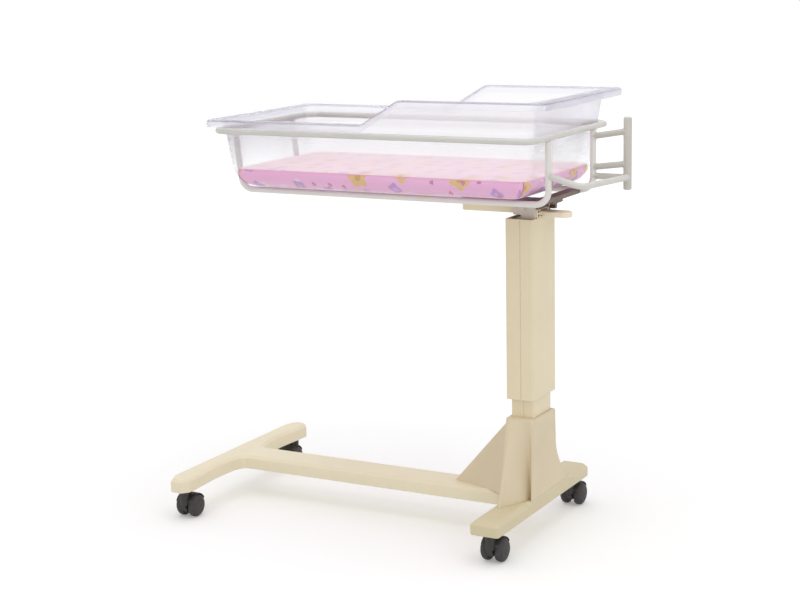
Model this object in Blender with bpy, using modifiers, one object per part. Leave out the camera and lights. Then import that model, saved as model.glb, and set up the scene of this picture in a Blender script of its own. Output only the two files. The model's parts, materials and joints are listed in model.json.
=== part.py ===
# Newborn's hospital bassinet on a height-adjusting castered C base.
# Metres, +Z up, floor at z = 0, +X towards the handle end, -Y towards the viewer.
import math

import bmesh
import bpy
from mathutils import Matrix, Vector

for old in list(bpy.data.objects):
    bpy.data.objects.remove(old, do_unlink=True)

# Driving dimensions, each written once
GAP = 0.0003                # gap left between neighbouring pieces
SLIP = 0.0005               # side clearance of rolling pieces

WHEEL_D = 0.050             # twin wheels of the casters
WHEEL_W = 0.0185
WHEEL_PITCH = 0.0330        # from wheel centre to wheel centre
WHEEL_STEPS = 24            # facets of the tread, one of them flat on the floor
WHEEL_EDGE = 0.005          # rounding of the tread edges
CASTER_TRAIL = 0.022        # stem to axle
CASTER_H = 0.065            # floor to the underside of the feet
AXLE_R = 0.003
STEM_R = 0.005
STEM_IN = 0.020             # how far a stem reaches into its foot
STEM_INSET = 0.030          # stem to the end of the foot
HOOD_GAP = 0.0009           # hood to tread
HOOD_T = 0.0016
HOOD_LOW = 0.011            # the hood's ends above the axle

FOOT_T = 0.030
FOOT_BEVEL = 0.008
RIGHT_FOOT_W = 0.063
RIGHT_FOOT_L = 0.462
LEFT_FOOT_W = 0.052
LEFT_FOOT_L = 0.512
FOOT_SPACING = 0.723        # right foot centre line to left foot centre line
SPINE_W = 0.077
SPINE_BEVEL = 0.006
SCALLOP = 0.007             # depth of the shallow hollows along the left foot
FLARE = 0.014               # how far the left foot runs out into the spine

SHROUD_TOP = 0.262
PROW_X = 0.175              # reach of the shroud along the spine
RIDGE_Y = 0.140             # reach of the shroud along the foot
SHROUD_FRONT = 0.072        # front edge of its flat side at the foot
SHROUD_FRONT_TOP = 0.062
SHROUD_BACK = 0.060         # back edge of the flat side, before it sweeps out
SHROUD_BACK_TOP = 0.052
SHROUD_SWEEP = 0.057        # how far the back edge sweeps out along the foot

SLEEVE_X = 0.0605
SLEEVE_Y = 0.1145
SLEEVE_WALL = 0.003
SLEEVE_Z0 = 0.301
SLEEVE_H = 0.371
POST_X = 0.050
POST_Y = 0.088
POST_WALL = 0.0025
POST_DOWN = 0.072           # post top below the sleeve top at rest
GROOVE_W = 0.002
GROOVE_D = 0.001
GLIDE_H = 0.030
CAP_H = 0.011
GAS_R = 0.014
GAS_H = 0.320
GAS_BORE_R = 0.0055
GAS_ROD_R = 0.005
GAS_ROD_FOOT = 0.055        # rod end above the gas cylinder's foot at rest

PLUG_DEPTH = 0.017          # bracket plug inside the sleeve
CHEEK_T = 0.006
CHEEK_H = 0.025
CHANNEL_W = 0.048
CHANNEL_H = 0.0175
CHANNEL_LEFT = 0.140        # reach of the channel to the left of the column
CHANNEL_WALL = 0.003
STRAP_T = 0.0053
CROSS_T = 0.012
CROSS_W = 0.026
CROSS_X = 0.038             # start of the cross bar, from the column centre
TILT_PIN_R = 0.005
LEVER_PIN_R = 0.0025
HOUSING_X = 0.018
HOUSING_H = 0.0165
LEVER_W = 0.036
LEVER_T = 0.008
PADDLE_T = 0.011
LEVER_REACH = 0.060         # paddle length outside the column

TUBE_R = 0.00635            # half inch tube of the basket
HOOP_UP = 0.040             # bottom run of the hoops above the sleeve top
HOOP_Y = 0.113
HOOP_BEND = 0.028
BASKET_H = 0.130            # upper rail above the bottom run
RAIL_Y = 0.193
RAIL_RIGHT = 0.0895         # right side of the rail, from the column centre
RAIL_BEND = 0.027
GRIP_R = 0.0085
GRIP_X = 0.164              # grip bar centre, from the column centre
GRIP_UP = 0.004             # foot of the grip bar above the bottom run
GRIP_L = 0.148
LOOP_DROP = 0.026           # fall of the handle loop from riser to grip bar

RIM_LEFT = 0.645            # rim ends, from the column centre
RIM_RIGHT = 0.120
RIM_Y = 0.204
RIM_UP = 0.023              # low rim above the upper rail
RIM_STEP = 0.050            # the head end stands higher by this
STEP_X0 = -0.280            # where the rim starts and ends its rise
STEP_X1 = -0.185
STEP_SOFT = 0.12            # share of the rise that each end's rounding takes
FLANGE_LEFT = 0.020
FLANGE_RIGHT = 0.031
FLANGE_Y = 0.020
LIP = 0.015
BASIN_T = 0.003
BASIN_TAPER = math.radians(6.5)
BASIN_CORNER = 0.030
BASIN_FILLET = 0.050

MATTRESS_GAP = 0.0025       # mattress to the hollow of the basin
MATTRESS_EASE = 0.006       # its underside ends this far short of the hollow
MATTRESS_H = 0.040
MATTRESS_CROWN = 0.006
MATTRESS_DRAW = 0.004       # sides pulled in between the corners
MATTRESS_CORNER = 0.040

# Derived places
WHEEL_R = WHEEL_D / 2.0
AXLE_Z = WHEEL_R * math.cos(math.pi / WHEEL_STEPS)
FOOT_Z0 = CASTER_H
FOOT_Z1 = FOOT_Z0 + FOOT_T
SLEEVE_Z1 = SLEEVE_Z0 + SLEEVE_H
POST_TOP = SLEEVE_Z1 - POST_DOWN
HOOP_Z = SLEEVE_Z1 + HOOP_UP
RAIL_Z = HOOP_Z + BASKET_H
GRIP_Z0 = HOOP_Z + GRIP_UP
GRIP_Z1 = GRIP_Z0 + GRIP_L
RIM_LOW = RAIL_Z + RIM_UP
LEFT_END = FOOT_SPACING + LEFT_FOOT_W / 2.0
RIGHT_END = GRIP_X + GRIP_R
CX = (LEFT_END - RIGHT_END) / 2.0     # column centre, so the whole is centred on x = 0
LFX = CX - FOOT_SPACING
RIM_HIGH = RIM_LOW + RIM_STEP
BASIN_Z0 = HOOP_Z + TUBE_R + GAP      # the basin rests on the hoops
BASIN_FLOOR = BASIN_Z0 + BASIN_T
TAN = math.tan(BASIN_TAPER)
RAIL_LEFT = -RIM_LEFT + FLANGE_LEFT + (RIM_LOW - RAIL_Z) * TAN - TUBE_R - 0.001
CROSS_Z1 = HOOP_Z - TUBE_R - GAP
CHANNEL_Z1 = CROSS_Z1 - STRAP_T - GAP
CHANNEL_Z0 = CHANNEL_Z1 - CHANNEL_H
TILT_Z = (CHANNEL_Z0 + CHANNEL_Z1) / 2.0
CHEEK_Y = CHANNEL_W / 2.0 + 0.008     # inner face of a cheek
HOUSING_X1 = SLEEVE_X / 2.0
HOUSING_X0 = HOUSING_X1 - HOUSING_X
LEVER_PIN_X = HOUSING_X0 + HOUSING_X / 2.0
LEVER_PIN_Z = SLEEVE_Z1 + GAP + HOUSING_H / 2.0

PARTS = bpy.data.collections.new("newborn_bassinet")
CUTTERS = bpy.data.collections.new("cutters")
bpy.context.scene.collection.children.link(PARTS)
bpy.context.scene.collection.children.link(CUTTERS)

CREAM = (0.84, 0.74, 0.56, 1.0)
OFF_WHITE = (0.66, 0.66, 0.60, 1.0)
GREY = (0.55, 0.52, 0.45, 1.0)
BROWN = (0.20, 0.15, 0.11, 1.0)
BLACK = (0.03, 0.03, 0.03, 1.0)
STEEL = (0.55, 0.56, 0.58, 1.0)
NYLON = (0.70, 0.66, 0.58, 1.0)
PINK = (0.86, 0.50, 0.66, 1.0)
CLEAR = (0.86, 0.84, 0.92, 0.35)


def finish(ob, anchor, colour, metallic=0.0, rough=0.45):
    """Put the object's origin on its joint axis and give it a material of its own."""
    anchor = Vector(anchor)
    if ob.type == "MESH":
        ob.data.transform(Matrix.Translation(-anchor))
    else:
        for spline in ob.data.splines:
            for point in spline.points:
                place = Vector(point.co[:3]) - anchor
                point.co = (place.x, place.y, place.z, 1.0)
    ob.location = anchor
    mat = bpy.data.materials.new(ob.name + "_material")
    mat.use_nodes = True
    shader = mat.node_tree.nodes["Principled BSDF"]
    shader.inputs["Base Color"].default_value = colour
    shader.inputs["Metallic"].default_value = metallic
    shader.inputs["Roughness"].default_value = rough
    shader.inputs["Alpha"].default_value = colour[3]
    ob.data.materials.append(mat)
    return ob


def mesh_object(name, bm, collection=None):
    data = bpy.data.meshes.new(name)
    bmesh.ops.recalc_face_normals(bm, faces=bm.faces)
    bm.to_mesh(data)
    bm.free()
    ob = bpy.data.objects.new(name, data)
    (collection or PARTS).objects.link(ob)
    if collection is CUTTERS:
        ob.hide_render = True
        ob.display_type = "WIRE"
    return ob


def box(name, low, high, collection=None):
    bm = bmesh.new()
    bmesh.ops.create_cube(bm, size=1.0)
    low = Vector(low)
    high = Vector(high)
    size = high - low
    bmesh.ops.scale(bm, vec=size, verts=bm.verts)
    bmesh.ops.translate(bm, vec=(low + high) / 2.0, verts=bm.verts)
    return mesh_object(name, bm, collection)


def cylinder(name, start, end, radius, sides=24, collection=None):
    start = Vector(start)
    end = Vector(end)
    way = end - start
    bm = bmesh.new()
    bmesh.ops.create_cone(
        bm, cap_ends=True, segments=sides, radius1=radius, radius2=radius, depth=way.length,
    )
    turn = way.to_track_quat("Z", "Y").to_matrix().to_4x4()
    bmesh.ops.transform(bm, matrix=Matrix.Translation((start + end) / 2.0) @ turn, verts=bm.verts)
    return mesh_object(name, bm, collection)


def boolean(ob, other, operation="DIFFERENCE"):
    mod = ob.modifiers.new(operation.lower() + "_" + other.name, "BOOLEAN")
    mod.operation = operation
    mod.solver = "EXACT"
    mod.object = other


def cut_box(ob, low, high):
    boolean(ob, box("cut_" + ob.name + "_" + str(len(ob.modifiers)), low, high, CUTTERS))


def cut_round(ob, start, end, radius, sides=24):
    name = "bore_" + ob.name + "_" + str(len(ob.modifiers))
    boolean(ob, cylinder(name, start, end, radius, sides, CUTTERS))


def soften(ob, width, segments=2):
    """Round the object's sharp edges."""
    mod = ob.modifiers.new("edges", "BEVEL")
    mod.width = width
    mod.segments = segments
    mod.limit_method = "ANGLE"
    mod.angle_limit = math.radians(50.0)


def bevel_top(ob, width, segments=1):
    """Chamfer only the edges of the upward face."""
    bm = bmesh.new()
    bm.from_mesh(ob.data)
    top = max(v.co.z for v in bm.verts)
    edges = [e for e in bm.edges if all(abs(v.co.z - top) < 1e-6 for v in e.verts)]
    bmesh.ops.bevel(bm, geom=edges, offset=width, segments=segments, affect="EDGES", profile=0.5)
    bm.to_mesh(ob.data)
    bm.free()


def fillet(points, radius, steps=5):
    """A polyline whose inner corners are replaced with arcs."""
    points = [Vector(p) for p in points]
    path = [points[0]]
    for before, here, after in zip(points, points[1:], points[2:]):
        a = (before - here).normalized()
        b = (after - here).normalized()
        half = a.angle(b) / 2.0
        reach = radius / math.tan(half)
        middle = (a + b).normalized()
        centre = here + middle * (radius / math.sin(half))
        start = here + a * reach - centre
        end = here + b * reach - centre
        sweep = start.angle(end)
        for k in range(steps + 1):
            t = k / steps
            side = start * math.sin((1.0 - t) * sweep) + end * math.sin(t * sweep)
            path.append(centre + side / math.sin(sweep))
    path.append(points[-1])
    return path


def tube(name, path, radius, cyclic=False):
    data = bpy.data.curves.new(name, "CURVE")
    data.dimensions = "3D"
    data.bevel_depth = radius
    data.bevel_resolution = 2
    data.use_fill_caps = not cyclic
    spline = data.splines.new("POLY")
    spline.points.add(len(path) - 1)
    for point, place in zip(spline.points, path):
        point.co = (place[0], place[1], place[2], 1.0)
    spline.use_cyclic_u = cyclic
    ob = bpy.data.objects.new(name, data)
    PARTS.objects.link(ob)
    return ob


def loft(name, rings, ring_closed=False):
    """Join rings of equal length; the ends are capped, or the last ring joins the first."""
    bm = bmesh.new()
    rows = [[bm.verts.new(p) for p in ring] for ring in rings]
    pairs = list(zip(rows, rows[1:]))
    if ring_closed:
        pairs.append((rows[-1], rows[0]))
    for low, high in pairs:
        count = len(low)
        for i in range(count):
            j = (i + 1) % count
            bm.faces.new((low[i], low[j], high[j], high[i]))
    if not ring_closed:
        bm.faces.new(rows[0])
        bm.faces.new(rows[-1])
    bent = [f for f in bm.faces if len(f.verts) == 4]
    bmesh.ops.triangulate(bm, faces=bent)
    return mesh_object(name, bm)


def outline(x0, x1, y0, y1, radius, steps, side_x=(), side_y=0, draw=0.0):
    """A rounded rectangle in plan, with extra points along its sides."""
    points = []
    corners = (
        (x1 - radius, y0 + radius, -90.0),
        (x1 - radius, y1 - radius, 0.0),
        (x0 + radius, y1 - radius, 90.0),
        (x0 + radius, y0 + radius, 180.0),
    )
    for number, (px, py, start) in enumerate(corners):
        for k in range(steps + 1):
            turn = math.radians(start + 90.0 * k / steps)
            points.append((px + radius * math.cos(turn), py + radius * math.sin(turn)))
        if number == 0 or number == 2:
            lift = 1.0 if number == 0 else -1.0
            for k in range(side_y):
                t = (k + 1) / (side_y + 1)
                low = y0 + radius
                high = y1 - radius
                y = low + (high - low) * t if number == 0 else high - (high - low) * t
                x = x1 if number == 0 else x0
                points.append((x - lift * draw * math.sin(math.pi * t), y))
        else:
            order = sorted(side_x, reverse=(number == 1))
            for x in order:
                t = (x - x0 - radius) / (x1 - x0 - 2.0 * radius)
                y = y1 if number == 1 else y0
                lift = 1.0 if number == 1 else -1.0
                points.append((x, y - lift * draw * math.sin(math.pi * t)))
    return points


# Feet and spine
right_foot = box(
    "right_foot",
    (CX - RIGHT_FOOT_W / 2.0, -RIGHT_FOOT_L / 2.0, FOOT_Z0),
    (CX + RIGHT_FOOT_W / 2.0, RIGHT_FOOT_L / 2.0, FOOT_Z1),
)
bevel_top(right_foot, FOOT_BEVEL)
land = box(
    "right_foot_land",
    (CX, -SHROUD_FRONT, FOOT_Z0 + FOOT_BEVEL),
    (CX + RIGHT_FOOT_W / 2.0, SHROUD_BACK + SHROUD_SWEEP, FOOT_Z1),
    CUTTERS,
)
boolean(right_foot, land, "UNION")
RIGHT_STEM_Y = RIGHT_FOOT_L / 2.0 - STEM_INSET
LEFT_STEM_Y = LEFT_FOOT_L / 2.0 - STEM_INSET
for side in (-1.0, 1.0):
    cut_round(
        right_foot,
        (CX, side * RIGHT_STEM_Y, FOOT_Z0 - 0.01),
        (CX, side * RIGHT_STEM_Y, FOOT_Z0 + STEM_IN + 0.001),
        STEM_R + GAP,
    )

half_w = LEFT_FOOT_W / 2.0
half_l = LEFT_FOOT_L / 2.0
half_s = SPINE_W / 2.0
inner_side = [
    (half_w - 0.012, half_l),
    (half_w, half_l - 0.016),
    (half_w - 0.001, half_l - 0.050),
    (half_w - SCALLOP * 0.75, half_l - 0.095),
    (half_w - SCALLOP, half_l - 0.130),
    (half_w - SCALLOP * 0.75, half_s + 0.048),
    (half_w - 0.001, half_s + 0.022),
    (half_w + FLARE * 0.35, half_s + 0.008),
    (half_w + FLARE, half_s),
]
plan = [(x, -y) for x, y in inner_side]
plan += list(reversed(inner_side))
plan += [
    (-half_w + 0.014, half_l),
    (-half_w, half_l - 0.030),
    (-half_w, -half_l + 0.030),
    (-half_w + 0.014, -half_l),
]
bm = bmesh.new()
face = bm.faces.new([bm.verts.new((LFX + x, y, FOOT_Z0)) for x, y in plan])
grown = bmesh.ops.extrude_face_region(bm, geom=[face])
for item in grown["geom"]:
    if isinstance(item, bmesh.types.BMVert):
        item.co.z = FOOT_Z1
left_foot = mesh_object("left_foot", bm)
bevel_top(left_foot, SPINE_BEVEL)
for side in (-1.0, 1.0):
    cut_round(
        left_foot,
        (LFX, side * LEFT_STEM_Y, FOOT_Z0 - 0.01),
        (LFX, side * LEFT_STEM_Y, FOOT_Z0 + STEM_IN + 0.001),
        STEM_R + GAP,
    )

spine_beam = box(
    "spine_beam",
    (LFX + half_w + FLARE + GAP, -half_s, FOOT_Z0),
    (CX - RIGHT_FOOT_W / 2.0 - GAP, half_s, FOOT_Z1),
)
bm = bmesh.new()
bm.from_mesh(spine_beam.data)
long_edges = [
    e for e in bm.edges
    if all(v.co.z > FOOT_Z1 - 1e-6 for v in e.verts) and abs(e.verts[0].co.x - e.verts[1].co.x) > 0.01
]
bmesh.ops.bevel(bm, geom=long_edges, offset=SPINE_BEVEL, segments=1, affect="EDGES", profile=0.5)
bm.to_mesh(spine_beam.data)
bm.free()

# Inner post, its top glide and the gas spring inside it
post_z0 = FOOT_Z1 + GAP
inner_post = box(
    "inner_post",
    (CX - POST_X / 2.0, -POST_Y / 2.0, post_z0),
    (CX + POST_X / 2.0, POST_Y / 2.0, POST_TOP),
)
cut_box(
    inner_post,
    (CX - POST_X / 2.0 + POST_WALL, -POST_Y / 2.0 + POST_WALL, post_z0 - 0.01),
    (CX + POST_X / 2.0 - POST_WALL, POST_Y / 2.0 - POST_WALL, POST_TOP + 0.01),
)
groove_x = CX + 0.002
cut_box(
    inner_post,
    (groove_x, -POST_Y / 2.0 - 0.01, post_z0 - 0.01),
    (groove_x + GROOVE_W, -POST_Y / 2.0 + GROOVE_D, POST_TOP + 0.01),
)
sleeve_in_x = SLEEVE_X / 2.0 - SLEEVE_WALL
sleeve_in_y = SLEEVE_Y / 2.0 - SLEEVE_WALL
post_top_glide = box(
    "post_top_glide",
    (CX - sleeve_in_x + GAP, -sleeve_in_y + GAP, POST_TOP + GAP),
    (CX + sleeve_in_x - GAP, sleeve_in_y - GAP, POST_TOP + GAP + CAP_H),
)
cut_round(
    post_top_glide,
    (CX, 0.0, POST_TOP - 0.01),
    (CX, 0.0, POST_TOP + CAP_H + 0.01),
    GAS_ROD_R + 0.001,
)
gas_z0 = FOOT_Z1 + GAP
gas_spring_cylinder = cylinder(
    "gas_spring_cylinder",
    (CX, 0.0, gas_z0),
    (CX, 0.0, gas_z0 + GAS_H),
    GAS_R,
)
cut_round(
    gas_spring_cylinder,
    (CX, 0.0, gas_z0 + 0.010),
    (CX, 0.0, gas_z0 + GAS_H + 0.01),
    GAS_BORE_R,
)

# Moulded shroud: a loft from a three-pronged base to the post's rectangle
half_foot = RIGHT_FOOT_W / 2.0
prow_base = [
    (-PROW_X, 0.006),
    (-PROW_X * 0.62, 0.025),
    (-0.058, 0.047),
    (-0.038, 0.066),
    (-0.024, 0.092),
    (-0.017, 0.116),
    (-0.013, RIDGE_Y),
    (-0.006, RIDGE_Y - 0.003),
]
cove_base = [
    (0.0035, RIDGE_Y - 0.030),
    (0.0135, RIDGE_Y - 0.050),
    (0.0205, SHROUD_FRONT - 0.004),
    (0.0245, SHROUD_FRONT - 0.0115),
    (half_foot - 0.003, SHROUD_FRONT - 0.003),
    (half_foot, SHROUD_FRONT),
]
cove_top = [
    (-0.006, SHROUD_FRONT_TOP),
    (0.004, SHROUD_FRONT_TOP),
    (0.012, SHROUD_FRONT_TOP),
    (0.018, SHROUD_FRONT_TOP),
    (half_foot - 0.006, SHROUD_FRONT_TOP),
    (half_foot, SHROUD_FRONT_TOP - 0.006),
]


def prow_top(half):
    """The prow's side and ridge where they meet the top, for a top of that half depth."""
    return [
        (-half_foot, 0.006),
        (-half_foot, 0.020),
        (-half_foot, 0.034),
        (-half_foot, half - 0.012),
        (-half_foot + 0.002, half - 0.006),
        (-half_foot + 0.005, half - 0.002),
        (-half_foot + 0.010, half),
        (-half_foot + 0.016, half),
    ]


def between(low, high, t):
    return [(a + (c - a) * t, b + (d - b) * t) for (a, b), (c, d) in zip(low, high)]


def shroud_ring(t, z):
    """One level of the shroud, t from 0 at the foot to 1 at the top."""
    front = between(prow_base + cove_base, prow_top(SHROUD_FRONT_TOP) + cove_top, t)
    back = between(prow_base, prow_top(SHROUD_BACK_TOP), t)
    sweep = SHROUD_SWEEP * max(0.0, 1.0 - t / 0.55) ** 1.6
    edge = (half_foot, SHROUD_BACK + (SHROUD_BACK_TOP - SHROUD_BACK) * t + sweep)
    for k in range(1, 7):
        share = k / 6.0
        back += between([back[7]], [edge], share)
    ring = [(x, -y) for x, y in front] + list(reversed(back))
    return [(CX + x, y, z) for x, y in ring]


shroud_z0 = FOOT_Z1 + GAP
shroud_rings = []
for t in (0.0, 0.08, 0.18, 0.30, 0.42, 0.55, 0.78, 1.0):
    shroud_rings.append(shroud_ring(t, shroud_z0 + (SHROUD_TOP - shroud_z0) * t))
shroud = loft("shroud", shroud_rings)
cut_box(
    shroud,
    (CX - POST_X / 2.0 - GAP, -POST_Y / 2.0 - GAP, shroud_z0 - 0.01),
    (CX + POST_X / 2.0 + GAP, POST_Y / 2.0 + GAP, SHROUD_TOP + 0.01),
)

# Lifting sleeve with its lower glide, bracket, rod and lever
outer_sleeve = box(
    "outer_sleeve",
    (CX - SLEEVE_X / 2.0, -SLEEVE_Y / 2.0, SLEEVE_Z0),
    (CX + SLEEVE_X / 2.0, SLEEVE_Y / 2.0, SLEEVE_Z1),
)
cut_box(
    outer_sleeve,
    (CX - sleeve_in_x, -sleeve_in_y, SLEEVE_Z0 - 0.01),
    (CX + sleeve_in_x, sleeve_in_y, SLEEVE_Z1 + 0.01),
)
cut_box(
    outer_sleeve,
    (groove_x, -SLEEVE_Y / 2.0 - 0.01, SLEEVE_Z0 - 0.01),
    (groove_x + GROOVE_W, -SLEEVE_Y / 2.0 + GROOVE_D, SLEEVE_Z1 + 0.01),
)
lower_glide_z = SLEEVE_Z0 + 0.001
sleeve_lower_glide = box(
    "sleeve_lower_glide",
    (CX - sleeve_in_x + GAP, -sleeve_in_y + GAP, lower_glide_z),
    (CX + sleeve_in_x - GAP, sleeve_in_y - GAP, lower_glide_z + GLIDE_H),
)
cut_box(
    sleeve_lower_glide,
    (CX - POST_X / 2.0 - GAP, -POST_Y / 2.0 - GAP, lower_glide_z - 0.01),
    (CX + POST_X / 2.0 + GAP, POST_Y / 2.0 + GAP, lower_glide_z + GLIDE_H + 0.01),
)
cheek_x0 = CX - 0.026
cheek_x1 = CX + sleeve_in_x - GAP
plug_z0 = SLEEVE_Z1 - PLUG_DEPTH
tilt_bracket = box(
    "tilt_bracket",
    (cheek_x0 + 0.006, -CHEEK_Y - CHEEK_T, plug_z0),
    (cheek_x1, CHEEK_Y + CHEEK_T, SLEEVE_Z1),
)
for side in (-1.0, 1.0):
    near = side * CHEEK_Y
    far = side * (CHEEK_Y + CHEEK_T)
    cheek = box(
        "cheek_" + ("front" if side < 0 else "back"),
        (cheek_x0, min(near, far), SLEEVE_Z1 - 0.010),
        (cheek_x1, max(near, far), SLEEVE_Z1 + CHEEK_H),
        CUTTERS,
    )
    boolean(tilt_bracket, cheek, "UNION")
cut_round(
    tilt_bracket,
    (CX, -CHEEK_Y - CHEEK_T - 0.01, TILT_Z),
    (CX, CHEEK_Y + CHEEK_T + 0.01, TILT_Z),
    TILT_PIN_R + GAP,
)
tilt_half = CHEEK_Y + CHEEK_T + 0.003
tilt_pin = cylinder("tilt_pin", (CX, -tilt_half, TILT_Z), (CX, tilt_half, TILT_Z), TILT_PIN_R)
gas_spring_rod = cylinder(
    "gas_spring_rod",
    (CX, 0.0, gas_z0 + GAS_ROD_FOOT),
    (CX, 0.0, plug_z0 - GAP),
    GAS_ROD_R,
    16,
)
housing_y = CHEEK_Y - GAP
housing_z0 = SLEEVE_Z1 + GAP
lever_housing = box(
    "lever_housing",
    (CX + HOUSING_X0, -housing_y, housing_z0),
    (CX + HOUSING_X1, housing_y, housing_z0 + HOUSING_H),
)
slot_half = LEVER_W / 2.0 + SLIP
cut_box(
    lever_housing,
    (CX + HOUSING_X0 - 0.01, -slot_half, LEVER_PIN_Z - LEVER_T / 2.0 - 0.0025),
    (CX + HOUSING_X1 + 0.01, slot_half, LEVER_PIN_Z + LEVER_T / 2.0 + 0.0025),
)
cut_round(
    lever_housing,
    (CX + LEVER_PIN_X, -housing_y - 0.01, LEVER_PIN_Z),
    (CX + LEVER_PIN_X, housing_y + 0.01, LEVER_PIN_Z),
    LEVER_PIN_R + GAP,
    16,
)
lever_pin = cylinder(
    "lever_pin",
    (CX + LEVER_PIN_X, -housing_y + GAP, LEVER_PIN_Z),
    (CX + LEVER_PIN_X, housing_y - GAP, LEVER_PIN_Z),
    LEVER_PIN_R,
    16,
)
lever_x0 = HOUSING_X0 + 0.002
lever_x1 = HOUSING_X1 + LEVER_REACH
paddle_x0 = HOUSING_X1 + 0.004
lever_plan = [(paddle_x0, -LEVER_W / 2.0)]
for k in range(9):
    turn = math.radians(-90.0 + 180.0 * k / 8.0)
    lever_plan.append((
        lever_x1 - LEVER_W / 2.0 + LEVER_W / 2.0 * math.cos(turn),
        LEVER_W / 2.0 * math.sin(turn),
    ))
lever_plan.append((paddle_x0, LEVER_W / 2.0))
bm = bmesh.new()
paddle_z1 = LEVER_PIN_Z + LEVER_T / 2.0 - 0.001
face = bm.faces.new([bm.verts.new((CX + x, y, paddle_z1 - PADDLE_T)) for x, y in lever_plan])
grown = bmesh.ops.extrude_face_region(bm, geom=[face])
for item in grown["geom"]:
    if isinstance(item, bmesh.types.BMVert):
        item.co.z = paddle_z1
release_lever = mesh_object("release_lever", bm)
lever_arm = box(
    "release_lever_arm",
    (CX + lever_x0, -LEVER_W / 2.0, LEVER_PIN_Z - LEVER_T / 2.0),
    (CX + paddle_x0 + 0.004, LEVER_W / 2.0, LEVER_PIN_Z + LEVER_T / 2.0),
    CUTTERS,
)
boolean(release_lever, lever_arm, "UNION")
cut_round(
    release_lever,
    (CX + LEVER_PIN_X, -LEVER_W, LEVER_PIN_Z),
    (CX + LEVER_PIN_X, LEVER_W, LEVER_PIN_Z),
    LEVER_PIN_R + GAP,
    16,
)

# Basket under the basin
cross_x0 = CX + CROSS_X
cross_x1 = cross_x0 + CROSS_W
channel_x1 = CX + HOUSING_X0 - GAP - 0.003
channel_x0 = CX - CHANNEL_LEFT
support_channel = box(
    "support_channel",
    (channel_x0, -CHANNEL_W / 2.0, CHANNEL_Z0),
    (channel_x1, CHANNEL_W / 2.0, CHANNEL_Z1),
)
cut_box(
    support_channel,
    (channel_x0 - 0.01, -CHANNEL_W / 2.0 + CHANNEL_WALL, CHANNEL_Z0 - 0.01),
    (channel_x1 + 0.01, CHANNEL_W / 2.0 - CHANNEL_WALL, CHANNEL_Z1 - CHANNEL_WALL),
)
cut_round(
    support_channel,
    (CX, -CHANNEL_W, TILT_Z),
    (CX, CHANNEL_W, TILT_Z),
    TILT_PIN_R + GAP,
)
cross_y = HOOP_Y - TUBE_R - GAP
cross_z0 = CROSS_Z1 - 0.002
cross_plate = box("cross_plate", (cross_x0, -cross_y, cross_z0), (cross_x1, cross_y, cross_z0 + CROSS_T))
strap = box(
    "cross_plate_strap",
    (channel_x0, -CHANNEL_W / 2.0, CROSS_Z1 - STRAP_T),
    (cross_x1 - 0.003, CHANNEL_W / 2.0, CROSS_Z1),
    CUTTERS,
)
boolean(cross_plate, strap, "UNION")

rail_x0 = CX + RAIL_LEFT
rail_x1 = CX + RAIL_RIGHT
rail_mid = (rail_x0 + rail_x1) / 2.0
loop = [
    (rail_mid, -RAIL_Y, RAIL_Z),
    (rail_x1, -RAIL_Y, RAIL_Z),
    (rail_x1, RAIL_Y, RAIL_Z),
    (rail_x0, RAIL_Y, RAIL_Z),
    (rail_x0, -RAIL_Y, RAIL_Z),
    (rail_mid, -RAIL_Y, RAIL_Z),
]
upper_rail = tube("upper_rail", fillet(loop, RAIL_BEND)[:-1], TUBE_R, True)
hoop_x0 = rail_x0 + (RAIL_Z - HOOP_Z) * TAN
riser_top = RAIL_Z - TUBE_R - GAP
hoops = {}
for side, name in ((-1.0, "front_hoop"), (1.0, "back_hoop")):
    line = [
        (rail_x1, side * HOOP_Y, riser_top),
        (rail_x1, side * HOOP_Y, HOOP_Z),
        (hoop_x0, side * HOOP_Y, HOOP_Z),
        (rail_x0 + (RAIL_Z - riser_top + 0.001) * TAN, side * HOOP_Y, riser_top - 0.001),
    ]
    hoops[name] = tube(name, fillet(line, HOOP_BEND), TUBE_R)

# Handle at the right end
arm_x0 = rail_x1 + TUBE_R + GAP
grip_x = CX + GRIP_X
loop_z = GRIP_Z0 + LOOP_DROP
front_z = loop_z + LOOP_DROP
handle_line = [
    (arm_x0 + 0.0024, -HOOP_Y, front_z),
    (grip_x - 0.008, -HOOP_Y, loop_z + LOOP_DROP * 0.3),
    (grip_x, HOOP_Y - GRIP_R - GAP, loop_z),
]
handle_loop = tube("handle_loop", fillet(handle_line, 0.026), TUBE_R)
arm_x1 = grip_x - GRIP_R - GAP
handle_back_arm = tube(
    "handle_back_arm",
    [(arm_x0, HOOP_Y, loop_z), (arm_x1, HOOP_Y, loop_z)],
    TUBE_R,
)
lower_arm_z = loop_z + LOOP_DROP * 0.7
grip_arm_lower = tube(
    "grip_arm_lower",
    [(arm_x0 + 0.0014, HOOP_Y, lower_arm_z), (arm_x1 - 0.0014, HOOP_Y, lower_arm_z + 0.009)],
    TUBE_R,
)
upper_arm_z = GRIP_Z1 - 0.041
grip_arm_upper = tube(
    "grip_arm_upper",
    [(arm_x0 + 0.0018, HOOP_Y, upper_arm_z), (arm_x1 - 0.0018, HOOP_Y, upper_arm_z + 0.012)],
    TUBE_R,
)
grip_bar = cylinder("grip_bar", (grip_x, HOOP_Y, GRIP_Z0), (grip_x, HOOP_Y, GRIP_Z1), GRIP_R, 16)


# Clear basin with its stepped, turned-down rim
def rise(x):
    """Height of the rim at a place along the basin."""
    t = (x - CX - STEP_X0) / (STEP_X1 - STEP_X0)
    t = min(max(t, 0.0), 1.0)
    soft = STEP_SOFT
    if t < soft:
        share = t * t / (2.0 * soft * (1.0 - soft))
    elif t > 1.0 - soft:
        share = 1.0 - (1.0 - t) ** 2 / (2.0 * soft * (1.0 - soft))
    else:
        share = (t - soft / 2.0) / (1.0 - soft)
    return RIM_LOW + RIM_STEP * share


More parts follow.
